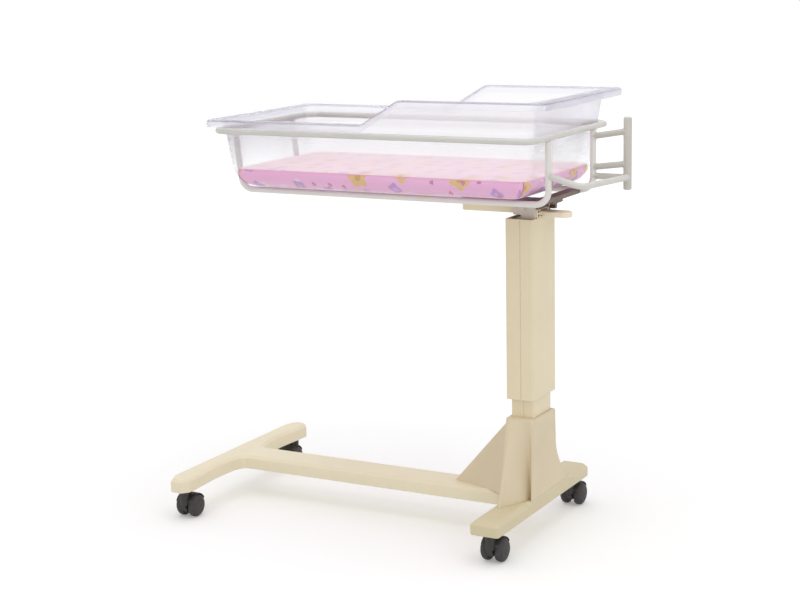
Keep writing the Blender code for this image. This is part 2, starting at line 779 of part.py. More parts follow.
STEP_POINTS = [CX + STEP_X0 + (STEP_X1 - STEP_X0) * k / 8.0 for k in range(9)]


def wall_ring(inset, radius, height):
    """A ring on the tapered wall; height is a number or a function of x."""
    points = []
    flat = height if not callable(height) else None
    z_left = flat if flat is not None else RIM_LOW
    z_right = flat if flat is not None else RIM_HIGH
    x0 = CX - RIM_LEFT + FLANGE_LEFT + (RIM_LOW - z_left) * TAN + inset
    x1 = CX + RIM_RIGHT - FLANGE_RIGHT - (RIM_HIGH - z_right) * TAN - inset
    half = RIM_Y - FLANGE_Y - inset
    for x, y in outline(x0, x1, -half, half, radius, 5, STEP_POINTS):
        z = flat if flat is not None else height(x)
        lean = (RIM_LOW - z) * TAN
        share = y - math.copysign(lean, y) if abs(y) > half - radius else y * (half - lean) / half
        points.append((x, share, z))
    return points


def rim_ring(inset, drop):
    ring = outline(
        CX - RIM_LEFT + inset, CX + RIM_RIGHT - inset, -RIM_Y + inset, RIM_Y - inset,
        0.016 - inset, 5, STEP_POINTS,
    )
    return [(x, y, rise(x) - drop) for x, y in ring]


basin_rings = []
inner_fillet = BASIN_FILLET - BASIN_T
for k in range(5):
    turn = math.radians(90.0 * k / 4.0)
    inset = BASIN_T + inner_fillet * (1.0 - math.sin(turn))
    radius = max(BASIN_CORNER - inset, 0.010)
    basin_rings.append(wall_ring(inset, radius, BASIN_FLOOR + inner_fillet * (1.0 - math.cos(turn))))
basin_rings.append(wall_ring(BASIN_T, BASIN_CORNER - BASIN_T, rise))
basin_rings.append(rim_ring(0.0, 0.0))
basin_rings.append(rim_ring(0.0, LIP))
basin_rings.append(rim_ring(BASIN_T, LIP))
basin_rings.append(rim_ring(BASIN_T, BASIN_T))
basin_rings.append(wall_ring(0.0, BASIN_CORNER, lambda x: rise(x) - BASIN_T))
for k in range(4, -1, -1):
    turn = math.radians(90.0 * k / 4.0)
    inset = BASIN_FILLET * (1.0 - math.sin(turn))
    radius = max(BASIN_CORNER - inset, 0.010)
    basin_rings.append(wall_ring(inset, radius, BASIN_Z0 + BASIN_FILLET * (1.0 - math.cos(turn))))
basin = loft("basin", basin_rings)

# Mattress: crowned, rounded below to seat in the basin, sides drawn in between the corners
floor_x0 = CX - RIM_LEFT + FLANGE_LEFT + (RIM_LOW - BASIN_FLOOR) * TAN + BASIN_T
floor_x1 = CX + RIM_RIGHT - FLANGE_RIGHT - (RIM_HIGH - BASIN_FLOOR) * TAN - BASIN_T
floor_y = RIM_Y - FLANGE_Y - (RIM_LOW - BASIN_FLOOR) * TAN - BASIN_T
mattress_z0 = BASIN_FLOOR + GAP
over = 0.013
bowl = BASIN_FILLET - BASIN_T
under = bowl - MATTRESS_GAP
turn_up = math.acos((bowl - MATTRESS_H + over) / under)
levels = []
for k in range(5):
    turn = turn_up * k / 4.0
    ease = MATTRESS_EASE * (1.0 - math.sin(turn))
    levels.append((bowl - under * math.sin(turn) + ease, under * (1.0 - math.cos(turn))))
side_inset, side_up = levels[-1]
for k in range(1, 4):
    turn = math.radians(30.0 * k)
    levels.append((
        side_inset + over * (1.0 - math.cos(turn)),
        side_up + (MATTRESS_H - side_up) * math.sin(turn),
    ))
for share in (0.25, 0.5, 0.75):
    inset = side_inset + over + (floor_y - side_inset - over - 0.035) * share
    levels.append((inset, MATTRESS_H + MATTRESS_CROWN * (1.0 - (1.0 - share) ** 2)))
span = floor_x1 - floor_x0
side_places = [floor_x0 + span * k / 8.0 for k in range(1, 8)]
mattress_rings = []
for inset, up in levels:
    radius = max(MATTRESS_CORNER - inset, 0.014)
    pull = MATTRESS_DRAW if inset < 0.03 else 0.0
    low = max(side_places[0], floor_x0 + inset + radius + 0.004)
    high = min(side_places[-1], floor_x1 - inset - radius - 0.004)
    lane = [low + (high - low) * k / 6.0 for k in range(7)]
    ring = outline(
        floor_x0 + inset, floor_x1 - inset, -floor_y + inset, floor_y - inset, radius, 4, lane, 5, pull,
    )
    mattress_rings.append([(x, y, mattress_z0 + up) for x, y in ring])
mattress = loft("mattress", mattress_rings)


# Casters: one hood is shaped once and used four times
def shape_hood():
    """Hood in its own frame: axle on X through the origin, stem towards -Y."""
    web = (WHEEL_PITCH - WHEEL_W) / 2.0 - SLIP
    outer = WHEEL_R + HOOD_GAP + HOOD_T
    wide = WHEEL_PITCH / 2.0 + WHEEL_W / 2.0
    hood = cylinder("hood_shape", (-wide, 0.0, 0.0), (wide, 0.0, 0.0), outer, 32, CUTTERS)
    for side in (-1.0, 1.0):
        cut_round(hood, (side * web, 0.0, 0.0), (side * (wide + 0.01), 0.0, 0.0), WHEEL_R + HOOD_GAP, 32)
    for side in (-1.0, 1.0):
        ends = sorted((side * web, side * (wide + 0.01)))
        cut_box(hood, (ends[0], -0.05, -0.05), (ends[1], 0.05, HOOD_LOW))
    cut_box(hood, (-0.05, -0.05, -0.05), (0.05, 0.05, -0.010))
    boss = cylinder(
        "hood_boss",
        (0.0, -CASTER_TRAIL, WHEEL_R + HOOD_GAP),
        (0.0, -CASTER_TRAIL, FOOT_Z0 - AXLE_Z - SLIP),
        0.009,
        20,
        CUTTERS,
    )
    neck = box(
        "hood_neck",
        (-web, -CASTER_TRAIL - 0.008, -0.002),
        (web, -0.004, WHEEL_R + 0.006),
        CUTTERS,
    )
    boolean(hood, neck, "UNION")
    boolean(hood, boss, "UNION")
    cut_round(hood, (-0.05, 0.0, 0.0), (0.05, 0.0, 0.0), AXLE_R + GAP, 16)
    cut_round(
        hood,
        (0.0, -CASTER_TRAIL, WHEEL_R - 0.008),
        (0.0, -CASTER_TRAIL, FOOT_Z0),
        STEM_R + GAP,
        16,
    )
    bpy.context.view_layer.update()
    seen = hood.evaluated_get(bpy.context.evaluated_depsgraph_get())
    return bpy.data.meshes.new_from_object(seen)


def wheel_profile():
    """Closed half section of a wheel, as distance from the axle and place along it."""
    half = WHEEL_W / 2.0
    inner = AXLE_R + GAP
    return [
        (inner, -half),
        (WHEEL_R - WHEEL_EDGE, -half),
        (WHEEL_R - WHEEL_EDGE * 0.3, -half + WHEEL_EDGE * 0.35),
        (WHEEL_R, -half + WHEEL_EDGE),
        (WHEEL_R, half - WHEEL_EDGE),
        (WHEEL_R - WHEEL_EDGE * 0.3, half - WHEEL_EDGE * 0.35),
        (WHEEL_R - WHEEL_EDGE, half),
        (inner, half),
    ]


def turned_wheel(name, centre):
    """The section turned about X, started half a facet off so that one facet lies on the floor."""
    start = math.pi / WHEEL_STEPS - math.pi / 2.0
    bm = bmesh.new()
    ring = []
    for r, x in wheel_profile():
        place = (x, r * math.cos(start), r * math.sin(start))
        ring.append(bm.verts.new(Vector(centre) + Vector(place)))
    for i in range(len(ring)):
        bm.edges.new((ring[i - 1], ring[i]))
    ob = mesh_object(name, bm)
    screw = ob.modifiers.new("turn", "SCREW")
    screw.axis = "X"
    screw.angle = 2.0 * math.pi
    screw.steps = WHEEL_STEPS
    screw.render_steps = WHEEL_STEPS
    screw.use_merge_vertices = True
    screw.merge_threshold = 0.00001
    screw.use_normal_calculate = True
    return ob


hood_mesh = shape_hood()
CASTERS = (
    ("front_right", CX, -RIGHT_STEM_Y, 1.0),
    ("back_right", CX, RIGHT_STEM_Y, 1.0),
    ("front_left", LFX, -LEFT_STEM_Y, 1.0),
    ("back_left", LFX, LEFT_STEM_Y, -1.0),
)
for place, stem_x, stem_y, way in CASTERS:
    axle_y = stem_y + way * CASTER_TRAIL
    turn = Matrix.Rotation(0.0 if way > 0 else math.pi, 4, "Z")
    move = Matrix.Translation((stem_x, axle_y, AXLE_Z)) @ turn
    data = hood_mesh.copy()
    data.name = "hood_" + place
    data.transform(move)
    hood = bpy.data.objects.new("hood_" + place, data)
    PARTS.objects.link(hood)
    on_stem = (stem_x, stem_y, AXLE_Z)
    finish(hood, on_stem, BLACK)
    stem = cylinder(
        "stem_" + place,
        (stem_x, stem_y, AXLE_Z + WHEEL_R - 0.008 + GAP),
        (stem_x, stem_y, FOOT_Z0 + STEM_IN),
        STEM_R,
        16,
    )
    finish(stem, on_stem, STEEL, 1.0, 0.3)
    axle_half = (WHEEL_PITCH + WHEEL_W) / 2.0 - 0.001
    axle = cylinder(
        "axle_" + place,
        (stem_x - axle_half, axle_y, AXLE_Z),
        (stem_x + axle_half, axle_y, AXLE_Z),
        AXLE_R,
        16,
    )
    finish(axle, on_stem, STEEL, 1.0, 0.3)
    for side, hand in ((-1.0, "a"), (1.0, "b")):
        centre = (stem_x + side * WHEEL_PITCH / 2.0, axle_y, AXLE_Z)
        wheel = turned_wheel("wheel_" + place + "_" + hand, centre)
        finish(wheel, centre, BLACK, 0.0, 0.6)

# Origins on the joint axes and materials
COLUMN = (CX, 0.0, 0.0)
TILT = (CX, 0.0, TILT_Z)
LEVER = (CX + LEVER_PIN_X, 0.0, LEVER_PIN_Z)
for ob in (right_foot, left_foot, spine_beam, inner_post, shroud):
    finish(ob, (0.0, 0.0, 0.0), CREAM)
finish(post_top_glide, COLUMN, NYLON)
finish(gas_spring_cylinder, COLUMN, BLACK)
finish(outer_sleeve, COLUMN, CREAM)
finish(sleeve_lower_glide, COLUMN, NYLON)
finish(tilt_bracket, COLUMN, GREY, 0.6)
finish(gas_spring_rod, COLUMN, STEEL, 1.0, 0.2)
finish(tilt_pin, COLUMN, STEEL, 1.0, 0.3)
finish(lever_housing, COLUMN, CREAM)
finish(lever_pin, COLUMN, STEEL, 1.0, 0.3)
finish(release_lever, LEVER, CREAM)
finish(support_channel, TILT, CREAM)
finish(cross_plate, TILT, BROWN, 0.2)
for ob in (upper_rail, hoops["front_hoop"], hoops["back_hoop"], handle_loop, handle_back_arm):
    finish(ob, TILT, OFF_WHITE)
for ob in (grip_arm_lower, grip_arm_upper, grip_bar):
    finish(ob, TILT, OFF_WHITE)
finish(basin, COLUMN, CLEAR, 0.0, 0.1)
finish(mattress, COLUMN, PINK, 0.0, 0.8)
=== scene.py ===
# The newborn's bassinet dressed for its picture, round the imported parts.
# Metres, +Z up, floor at z = 0, +X towards the handle end, -Y towards the viewer.
import json
from math import copysign, cos, hypot, pi, radians, sin, sqrt, tan

import bmesh
import bpy
from mathutils import Matrix, Vector

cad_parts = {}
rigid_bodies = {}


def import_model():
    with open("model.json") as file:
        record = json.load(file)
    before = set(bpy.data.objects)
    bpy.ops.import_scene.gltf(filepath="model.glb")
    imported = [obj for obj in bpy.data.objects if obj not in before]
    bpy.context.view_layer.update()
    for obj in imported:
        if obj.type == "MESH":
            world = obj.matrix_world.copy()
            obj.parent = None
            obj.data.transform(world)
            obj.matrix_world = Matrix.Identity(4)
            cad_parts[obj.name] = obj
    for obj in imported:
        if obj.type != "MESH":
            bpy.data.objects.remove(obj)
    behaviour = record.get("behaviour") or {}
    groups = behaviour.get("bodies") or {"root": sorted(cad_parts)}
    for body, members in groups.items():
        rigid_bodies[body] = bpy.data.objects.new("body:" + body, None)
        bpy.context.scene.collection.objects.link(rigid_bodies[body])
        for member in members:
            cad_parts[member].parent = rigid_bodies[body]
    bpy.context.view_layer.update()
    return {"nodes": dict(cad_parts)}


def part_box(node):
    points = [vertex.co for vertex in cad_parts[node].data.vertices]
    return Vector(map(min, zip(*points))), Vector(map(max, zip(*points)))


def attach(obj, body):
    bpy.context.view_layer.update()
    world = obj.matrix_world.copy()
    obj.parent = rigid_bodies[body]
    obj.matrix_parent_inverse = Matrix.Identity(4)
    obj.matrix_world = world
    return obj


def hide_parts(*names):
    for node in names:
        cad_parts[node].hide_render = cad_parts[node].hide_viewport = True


for old in list(bpy.data.objects):
    bpy.data.objects.remove(old, do_unlink=True)
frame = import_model()
scene = bpy.context.scene
scene.view_settings.view_transform = "Standard"

# Places taken over from the part
CX = 0.28825  # column centre
LFX = -0.43475  # centre line of the left foot
FOOT_Z0 = 0.065
FOOT_Z1 = 0.095
FOOT_HALF = 0.0315  # half width of the right foot and of the shroud over it
POST_X = 0.025
POST_Y = 0.044
SLEEVE_X = 0.03025
SLEEVE_Y = 0.05725
SLEEVE_Z1 = 0.672
SHROUD_TOP = 0.262
TILT_Z = 0.691
LEVER_Z = 0.68055
TUBE_R = 0.00635
HOOP_Z = 0.712
HOOP_Y = 0.113
HOOP_BEND = 0.028
RAIL_Z = 0.842
RAIL_Y = 0.193
RAIL_BEND = 0.027
GRIP_R = 0.0085
RIM_LOW = 0.865
RIM_STEP = 0.05
RIM_HIGH = RIM_LOW + RIM_STEP
RIM_Y = 0.204
RIM_X0 = CX - 0.645
RIM_X1 = CX + 0.12
RIM_CORNER = 0.016
STEP_X0 = CX - 0.28
STEP_X1 = CX - 0.185
STEP_SOFT = 0.12
LIP = 0.015
WALL_X0 = RIM_X0 + 0.02  # the tapered wall where it meets the flange
WALL_X1 = RIM_X1 - 0.031
WALL_Y = RIM_Y - 0.02
WALL_T = 0.003
THIN_T = 0.0014  # the sheet is drawn thinner at its foot
TAN = tan(radians(6.5))
BASIN_CORNER = 0.03
BASIN_FILLET = 0.05
BASIN_Z0 = 0.71865
WHEEL_R = 0.02478
WHEEL_W = 0.0185
WHEEL_PITCH = 0.033
AXLE_Z = 0.024786
TRAIL = 0.022  # how far an axle lies behind its stem
TINY = 0.00005  # radius that stands in for a point on an axis
SIDEWAYS = (0.0, 1.0, 0.0)
UPRIGHT = (0.0, 0.0, 1.0)
WHITE = (1.0, 1.0, 1.0, 1.0)


# Geometry helpers
def clamp(value, low=0.0, high=1.0):
    return min(max(value, low), high)


def smoothstep(t):
    t = clamp(t)
    return t * t * (3.0 - 2.0 * t)


def arc(x, y, rx, ry, steps, start=0.0, end=90.0):
    """Points on an arc about (x, y) from one angle to another, in degrees."""
    turns = [radians(start + (end - start) * k / steps) for k in range(steps + 1)]
    return [(x + rx * cos(t), y + ry * sin(t)) for t in turns]


def circle(steps):
    return arc(0.0, 0.0, 1.0, 1.0, steps, 0.0, 360.0)[:-1]


def fillet(points, radius, steps=12):
    """A polyline whose inner corners are replaced with arcs; radius is one number or one per corner."""
    points = [Vector(p) for p in points]
    if not isinstance(radius, list):
        radius = [radius] * (len(points) - 2)
    path = [points[0]]
    for before, here, after, r in zip(points, points[1:], points[2:], radius):
        a = (before - here).normalized()
        b = (after - here).normalized()
        half = a.angle(b) / 2.0
        centre = here + (a + b).normalized() * (r / sin(half))
        start = here + a * (r / tan(half)) - centre
        end = here + b * (r / tan(half)) - centre
        sweep = max(start.angle(end), 1e-4)
        for k in range(steps + 1):
            t = k / steps
            side = start * sin((1.0 - t) * sweep) + end * sin(t * sweep)
            path.append(centre + side / sin(sweep))
    path.append(points[-1])
    return path


def spline(points, steps=5):
    """A smooth line through the points."""
    points = [Vector(p) for p in points]
    ends = [points[0] * 2.0 - points[1]] + points + [points[-1] * 2.0 - points[-2]]
    line = []
    for a, b, c, d in zip(ends, ends[1:], ends[2:], ends[3:]):
        for k in range(steps):
            t = k / steps
            line.append(0.5 * (
                2.0 * b + (c - a) * t + (2.0 * a - 5.0 * b + 4.0 * c - d) * t * t
                + (3.0 * b - a - 3.0 * c + d) * t ** 3
            ))
    line.append(points[-1])
    return line


def outline(x0, x1, y0, y1, radius, steps, side_x=(), side_y=()):
    """A rounded rectangle in plan, counter-clockwise, with extra points along its sides."""
    points = []
    corners = ((x1 - radius, y0 + radius), (x1 - radius, y1 - radius),
               (x0 + radius, y1 - radius), (x0 + radius, y0 + radius))
    for number, (x, y) in enumerate(corners):
        start = 90.0 * number - 90.0
        points += arc(x, y, radius, radius, steps, start, start + 90.0)
        if number in (0, 2):
            points += [(x0 if number else x1, y) for y in sorted(side_y, reverse=number == 2)]
        else:
            points += [(x, y1 if number == 1 else y0) for x in sorted(side_x, reverse=number == 1)]
    return points


def draw_in(points, inset):
    """The outline moved inwards by inset, square to its own sides."""
    moved = []
    count = len(points)
    for i in range(count):
        a = (points[i] - points[i - 1]).normalized()
        b = (points[(i + 1) % count] - points[i]).normalized()
        inward = Vector((-(a.y + b.y), a.x + b.x)).normalized()
        grow = 1.0 / max(inward.dot(Vector((-a.y, a.x))), 0.6)
        moved.append(points[i] + inward * inset * grow)
    return moved


def add_loft(bm, rings, cyclic=False):
    """Join closed rings of equal length; cyclic joins the last to the first, otherwise both ends are capped."""
    rows = [[bm.verts.new(p) for p in ring] for ring in rings]
    pairs = list(zip(rows, rows[1:]))
    if cyclic:
        pairs.append((rows[-1], rows[0]))
    for low, high in pairs:
        for i in range(len(low)):
            j = (i + 1) % len(low)
            bm.faces.new((low[i], low[j], high[j], high[i]))
    if not cyclic:
        bm.faces.new(rows[0][::-1])
        bm.faces.new(rows[-1])
    return rows


def add_tube(bm, path, radius, cyclic=False, sides=24):
    """A round tube along a path; radius is one number or one per point."""
    path = [Vector(p) for p in path]
    radii = radius if isinstance(radius, list) else [radius] * len(path)
    ends = path[-1:] + path + path[:1] if cyclic else path[:1] + path + path[-1:]
    ways = [(after - before).normalized() for before, after in zip(ends, ends[2:])]
    side = ways[0].orthogonal().normalized()
    rings = []
    for p, way, r in zip(path, ways, radii):
        side = (side - way * side.dot(way)).normalized()
        other = way.cross(side)
        rings.append([p + (side * c + other * s) * r for c, s in circle(sides)])
    add_loft(bm, rings, cyclic)


def add_lathe(bm, profile, centre, axis, steps):
    """Turn a section of (distance from the axis, place along it) about an axis through the centre."""
    axis = Vector(axis)
    side = axis.orthogonal().normalized()
    other = axis.cross(side)
    centre = Vector(centre)
    rings = [[centre + (side * c + other * s) * r + axis * h for r, h in profile] for c, s in circle(steps)]
    add_loft(bm, rings, True)


def add_box(bm, low, high):
    low = Vector(low)
    high = Vector(high)
    bmesh.ops.create_cube(bm, size=1.0, matrix=Matrix.LocRotScale((low + high) / 2.0, None, high - low))


def add_prism(bm, points, along):
    """A flat outline drawn out along a vector."""
    add_loft(bm, [points, [Vector(p) + Vector(along) for p in points]])


def add_screw(bm, centre, way, radius):
    """A low domed screw head with a washer, standing on its face."""
    profile = [(TINY, -0.0004), (radius * 1.5, -0.0004), (radius * 1.5, 0.0005), (radius * 1.05, 0.0006)]
    profile += [(max(r, TINY), h) for r, h in arc(0.0, 0.0006, radius, radius * 0.55, 5)]
    add_lathe(bm, profile, centre, way, 24)


def smooth(bm):
    """Turn every face outwards and shade it softly."""
    bmesh.ops.recalc_face_normals(bm, faces=bm.faces)
    for face in bm.faces:
        face.smooth = True


def make_object(name, data):
    ob = bpy.data.objects.new(name, data)
    scene.collection.objects.link(ob)
    return ob


def mesh_object(name, bm, material):
    data = bpy.data.meshes.new(name)
    bm.to_mesh(data)
    bm.free()
    data.materials.append(material)
    return make_object(name, data)


def piece(name, bm, body, material, slot, replaced=(), bevel=0.0, sharp=35.0):
    """Make a shown piece: smooth shading with crisp edges, a finish, and the body it rides on."""
    smooth(bm)
    if not bevel:
        for edge in bm.edges:
            if len(edge.link_faces) == 2 and edge.calc_face_angle(0.0) > radians(sharp):
                edge.smooth = False
    ob = mesh_object(name, bm, material)
    if bevel:
        mod = ob.modifiers.new("rounded", "BEVEL")
        mod.width = bevel
        mod.segments = 3
        mod.limit_method = "ANGLE"
        mod.angle_limit = radians(28.0)
        mod.harden_normals = True
    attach(ob, body)
    if replaced:
        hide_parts(*replaced)


def box_piece(name, boxes, *finish):
    """A shown piece made of boxes, each given by its low and its high corner."""
    bm = bmesh.new()
    for low, high in boxes:
        add_box(bm, low, high)
    piece(name, bm, *finish)


def tube_piece(name, path, paint, node, cyclic=False, radius=TUBE_R, sharp=60.0):
    """A tube of the basket."""
    bm = bmesh.new()
    add_tube(bm, path, radius, cyclic)
    piece(name, bm, "basket", paint, "frame_paint", [node], sharp=sharp)


# Material helpers
def linear(*rgb):
    """A colour given as 0 to 255 in sRGB, as the shaders take it."""
    shares = [value / 255.0 for value in rgb]
    return tuple(s / 12.92 if s <= 0.04045 else ((s + 0.055) / 1.055) ** 2.4 for s in shares) + (1.0,)


def shade(colour, factor):
    return tuple(min(c * factor, 1.0) for c in colour[:3]) + (1.0,)


class Graph:
    """A material or a world with its nodes, and short ways to add to them."""

    def __init__(self, name, kind="materials"):
        self.owner = getattr(bpy.data, kind).new(name)
        self.owner.use_nodes = True
        self.tree = self.owner.node_tree
        self.shader = self.tree.nodes.get("Principled BSDF")

    def feed(self, socket, value):
        if isinstance(value, bpy.types.NodeSocket):
            self.tree.links.new(value, socket)
        else:
            socket.default_value = value

    def put(self, name, value):
        self.feed(self.shader.inputs[name], value)

    def node(self, kind, inputs=None, **settings):
        made = self.tree.nodes.new("ShaderNode" + kind)
        for key, value in settings.items():
            setattr(made, key, value)
        for key, value in (inputs or {}).items():
            self.feed(made.inputs[key], value)
        return made

    def math(self, operation, a, b=0.0, c=0.0):
        return self.node("Math", {0: a, 1: b, 2: c}, operation=operation).outputs[0]

    def times(self, a, b):
        return self.math("MULTIPLY", a, b)

    def noise(self, place, scale, detail=3.0, rough=0.5):
        made = self.node("TexNoise", {"Vector": place, "Scale": scale, "Detail": detail, "Roughness": rough})
        return made.outputs["Fac"]

    def span(self, value, low, high, to_low=0.0, to_high=1.0):
        ins = {"Value": value, "From Min": low, "From Max": high, "To Min": to_low, "To Max": to_high}
        return self.node("MapRange", ins).outputs["Result"]

    def mix(self, factor, a, b):
        return self.node("Mix", {0: factor, 6: a, 7: b}, data_type="RGBA").outputs[2]

    def bump(self, height, strength, distance):
        made = self.node("Bump", {"Height": height, "Strength": strength, "Distance": distance})
        return made.outputs["Normal"]

    def place(self):
        return self.node("TexCoord").outputs["Object"]

    def split(self, vector):
        return self.node("SeparateXYZ", {"Vector": vector}).outputs

    def mapped(self, vector, **ways):
        return self.node("Mapping", {"Vector": vector, **ways}).outputs["Vector"]

    def vector(self, operation, inputs):
        return self.node("VectorMath", inputs, operation=operation).outputs


def coated(name, rgb, rough, grain, depth, mottle=0.03, metallic=0.0):
    """Paint or moulded plastic: faint cloudiness, fine surface grain and a little uneven gloss."""
    g = Graph(name)
    here = g.place()
    colour = linear(*rgb)
    cloud = g.noise(here, 7.0, 4.0)
    speck = g.noise(here, 320.0, 2.0)
    tone = g.mix(g.span(cloud, 0.3, 0.7), shade(colour, 1.0 - mottle), shade(colour, 1.0 + mottle))
    g.put("Base Color", g.mix(g.span(speck, 0.55, 0.75, 0.0, 0.12), tone, shade(colour, 0.86)))
    g.put("Roughness", g.span(g.noise(here, 26.0, 4.0), 0.3, 0.7, rough - 0.06, rough + 0.06))
    g.put("Normal", g.bump(g.noise(here, 1.0 / grain, 2.0), 0.35, depth))
    g.put("Metallic", metallic)
    return g.owner


def steel_material():
    """Plated or ground steel with fine turned lines and light tarnish."""
    g = Graph("plated_steel")
    here = g.place()
    colour = linear(196, 198, 202)
    fine = g.noise(g.mapped(here, Scale=(1.0, 1.0, 6.0)), 420.0)
    stain = g.noise(here, 60.0, 4.0)
    g.put("Base Color", g.mix(g.span(stain, 0.35, 0.7), colour, shade(colour, 0.72)))
    g.put("Roughness", g.span(fine, 0.3, 0.7, 0.2, 0.38))
    g.put("Normal", g.bump(fine, 0.15, 0.0002))
    g.put("Metallic", 1.0)
    return g.owner


def tread_material():
    """Dark grey tyre: fine rings round the axle and dusty wear."""
    g = Graph("grey_black_tread")
    here = g.place()
    dust = g.noise(here, 90.0, 5.0, 0.65)
    g.put("Base Color", g.mix(g.span(dust, 0.45, 0.75, 0.0, 0.5), linear(52, 50, 51), linear(92, 88, 84)))
    g.put("Roughness", g.span(dust, 0.3, 0.7, 0.5, 0.68))
    rings = g.math("SINE", g.times(g.split(here)["X"], 5200.0))
    rough = g.noise(here, 1400.0, 2.0)
    g.put("Normal", g.bump(g.math("ADD", g.times(rings, 0.4), rough), 0.3, 0.0003))
    return g.owner


def clear_material():
    """Clear moulded sheet: hazier and lighter towards its rim, darker lavender as painted shade on faces seen
    edge-on and along the rim's bends, a few scuffs.
    """
    haze = (0.764, 0.84)
    lighter = (0.832, 0.856)
    g = Graph("clear_lavender_sheet")
    here = g.place()
    ripple = g.noise(here, 14.0, 2.0)
    scuff = g.noise(here, 240.0, 6.0, 0.7)
    facing = g.node("LayerWeight", {"Blend": 0.5}).outputs["Facing"]
    height = g.split(here)["Z"]
    # Faces seen edge-on and the rim's bends turn darker lavender: painted shade standing in for what refraction
    # does at the edges of clear plastic
    lean = g.span(facing, 0.15, 0.62)
    rim_edge_shade = g.node("Attribute", attribute_name="rim_edge_shade").outputs["Fac"]
    edge = g.math("MAXIMUM", g.span(facing, 0.84, 0.97), rim_edge_shade)
    low_tint = g.mix(lean, linear(212, 208, 214), linear(172, 169, 181))
    high_tint = g.mix(lean, linear(253, 252, 255), linear(226, 223, 235))
    tint = g.mix(g.span(height, *lighter), low_tint, high_tint)
    tint = g.mix(edge, tint, linear(158, 155, 180))
    g.put("Base Color", g.mix(g.span(ripple, 0.3, 0.7, 0.0, 0.2), tint, linear(240, 238, 247)))
    opacity = g.math("MULTIPLY_ADD", lean, 0.1, g.span(height, *lighter, 0.32, 0.42))
    opacity = g.math("ADD", opacity, g.span(facing, 0.64, 0.8, 0.0, -0.24))
    opacity = g.math("MULTIPLY_ADD", edge, 0.56, opacity)
    g.put("Alpha", g.times(opacity, g.span(height, *haze, 0.3, 1.0)))
    g.put("Roughness", g.span(scuff, 0.5, 0.8, 0.3, 0.4))
    g.put("Normal", g.bump(ripple, 0.05, 0.002))
    g.put("Transmission Weight", 0.95)
    g.put("IOR", 1.12)
    g.put("Coat Weight", 0.3)
    g.put("Coat Roughness", 0.04)
    fog = g.node("VolumeAbsorption", {"Color": (0.62, 0.59, 0.74, 1.0), "Density": 4.0})
    g.feed(g.tree.nodes["Material Output"].inputs["Volume"], fog.outputs[0])
    return g.owner


def cover_material():
    """Wipe-clean pink cover printed with scattered blossoms and dots, on a fine weave; paler on top with the
    print faded there, as painted sheen.
    """
    g = Graph("pink_printed_cover")
    uv = g.node("UVMap", uv_map="cover").outputs["UV"]
    here = g.place()
    # Upward faces get a paler pink and a faded print: painted sheen
    top = g.span(g.split(g.node("NewGeometry").outputs["Normal"])["Z"], 0.55, 0.85)
    cloud = g.noise(here, 9.0)
    side_pink = g.mix(cloud, linear(255, 190, 231), linear(255, 205, 239))
    top_sheen_pink = g.mix(cloud, linear(255, 224, 234), linear(255, 233, 240))
    full_turn = 6.283
    top_sheen_fade = g.span(top, 0.0, 1.0, 0.9, 0.26)
    colour = g.mix(top, side_pink, top_sheen_pink)
    # Petalled motifs, each kind in some of the cells of its own scattered grid
    for scale, petals, size, seed, chance, petal_tone, heart_tone in (
        (21.0, 1.0, 0.25, 17.9, 0.42, linear(255, 232, 242), linear(255, 240, 246)),
        (18.0, 4.0, 0.26, 7.7, 0.7, linear(206, 160, 222), linear(226, 190, 228)),
        (13.0, 5.0, 0.31, 3.1, 0.7, linear(240, 206, 130), linear(226, 172, 118)),
        (29.0, 3.0, 0.15, 11.3, 0.4, linear(214, 122, 178), linear(234, 170, 160)),
    ):
        moved = g.mapped(uv, Location=(seed, seed * 0.37, 0.0))
        cells = g.node("TexVoronoi", {"Vector": moved, "Scale": scale, "Randomness": 0.62},
                       voronoi_dimensions="2D").outputs
        scaled = g.vector("SCALE", {0: moved, "Scale": scale})[0]
        middle = g.vector("SCALE", {0: cells["Position"], "Scale": scale})[0]
        away = g.vector("SUBTRACT", {0: scaled, 1: middle})[0]
        parts = g.split(away)
        reach = g.vector("LENGTH", {0: away})["Value"]
        pick = g.node("SeparateColor", {"Color": cells["Color"]}).outputs
        turn = g.math("ARCTAN2", parts["Y"], parts["X"])
        turn = g.math("ADD", turn, g.times(pick["Green"], full_turn))
        wave = g.math("COSINE", g.times(turn, petals))
        edge = g.math("MULTIPLY_ADD", wave, size * 0.15, size * 0.85)
        body = g.span(g.math("SUBTRACT", edge, reach), -0.012, 0.02)
        heart = g.span(reach, size * 0.24, size * 0.34, 1.0, 0.0)
        shown = g.math("LESS_THAN", pick["Red"], chance)
        petal = g.mix(g.span(wave, -1.0, 1.0, 0.86, 1.0), shade(petal_tone, 0.86), petal_tone)
        colour = g.mix(g.times(g.times(body, shown), top_sheen_fade), colour, petal)
        colour = g.mix(g.times(g.times(heart, shown), top_sheen_fade), colour, heart_tone)
    g.put("Base Color", colour)
    threads = g.split(g.mapped(uv, Scale=(1100.0, 1100.0, 1.0)))
    warp, weft = [g.math("SINE", g.times(threads[way], full_turn)) for way in "XY"]
    creases = g.noise(here, 38.0, 4.0, 0.55)
    height = g.math("ADD", g.times(g.times(warp, weft), 0.08), creases)
    g.put("Normal", g.bump(height, 0.25, 0.0016))
    g.put("Roughness", g.span(creases, 0.3, 0.7, 0.42, 0.56))
    g.put("Sheen Weight", 0.15)
    g.put("Sheen Roughness", 0.4)
    return g.owner


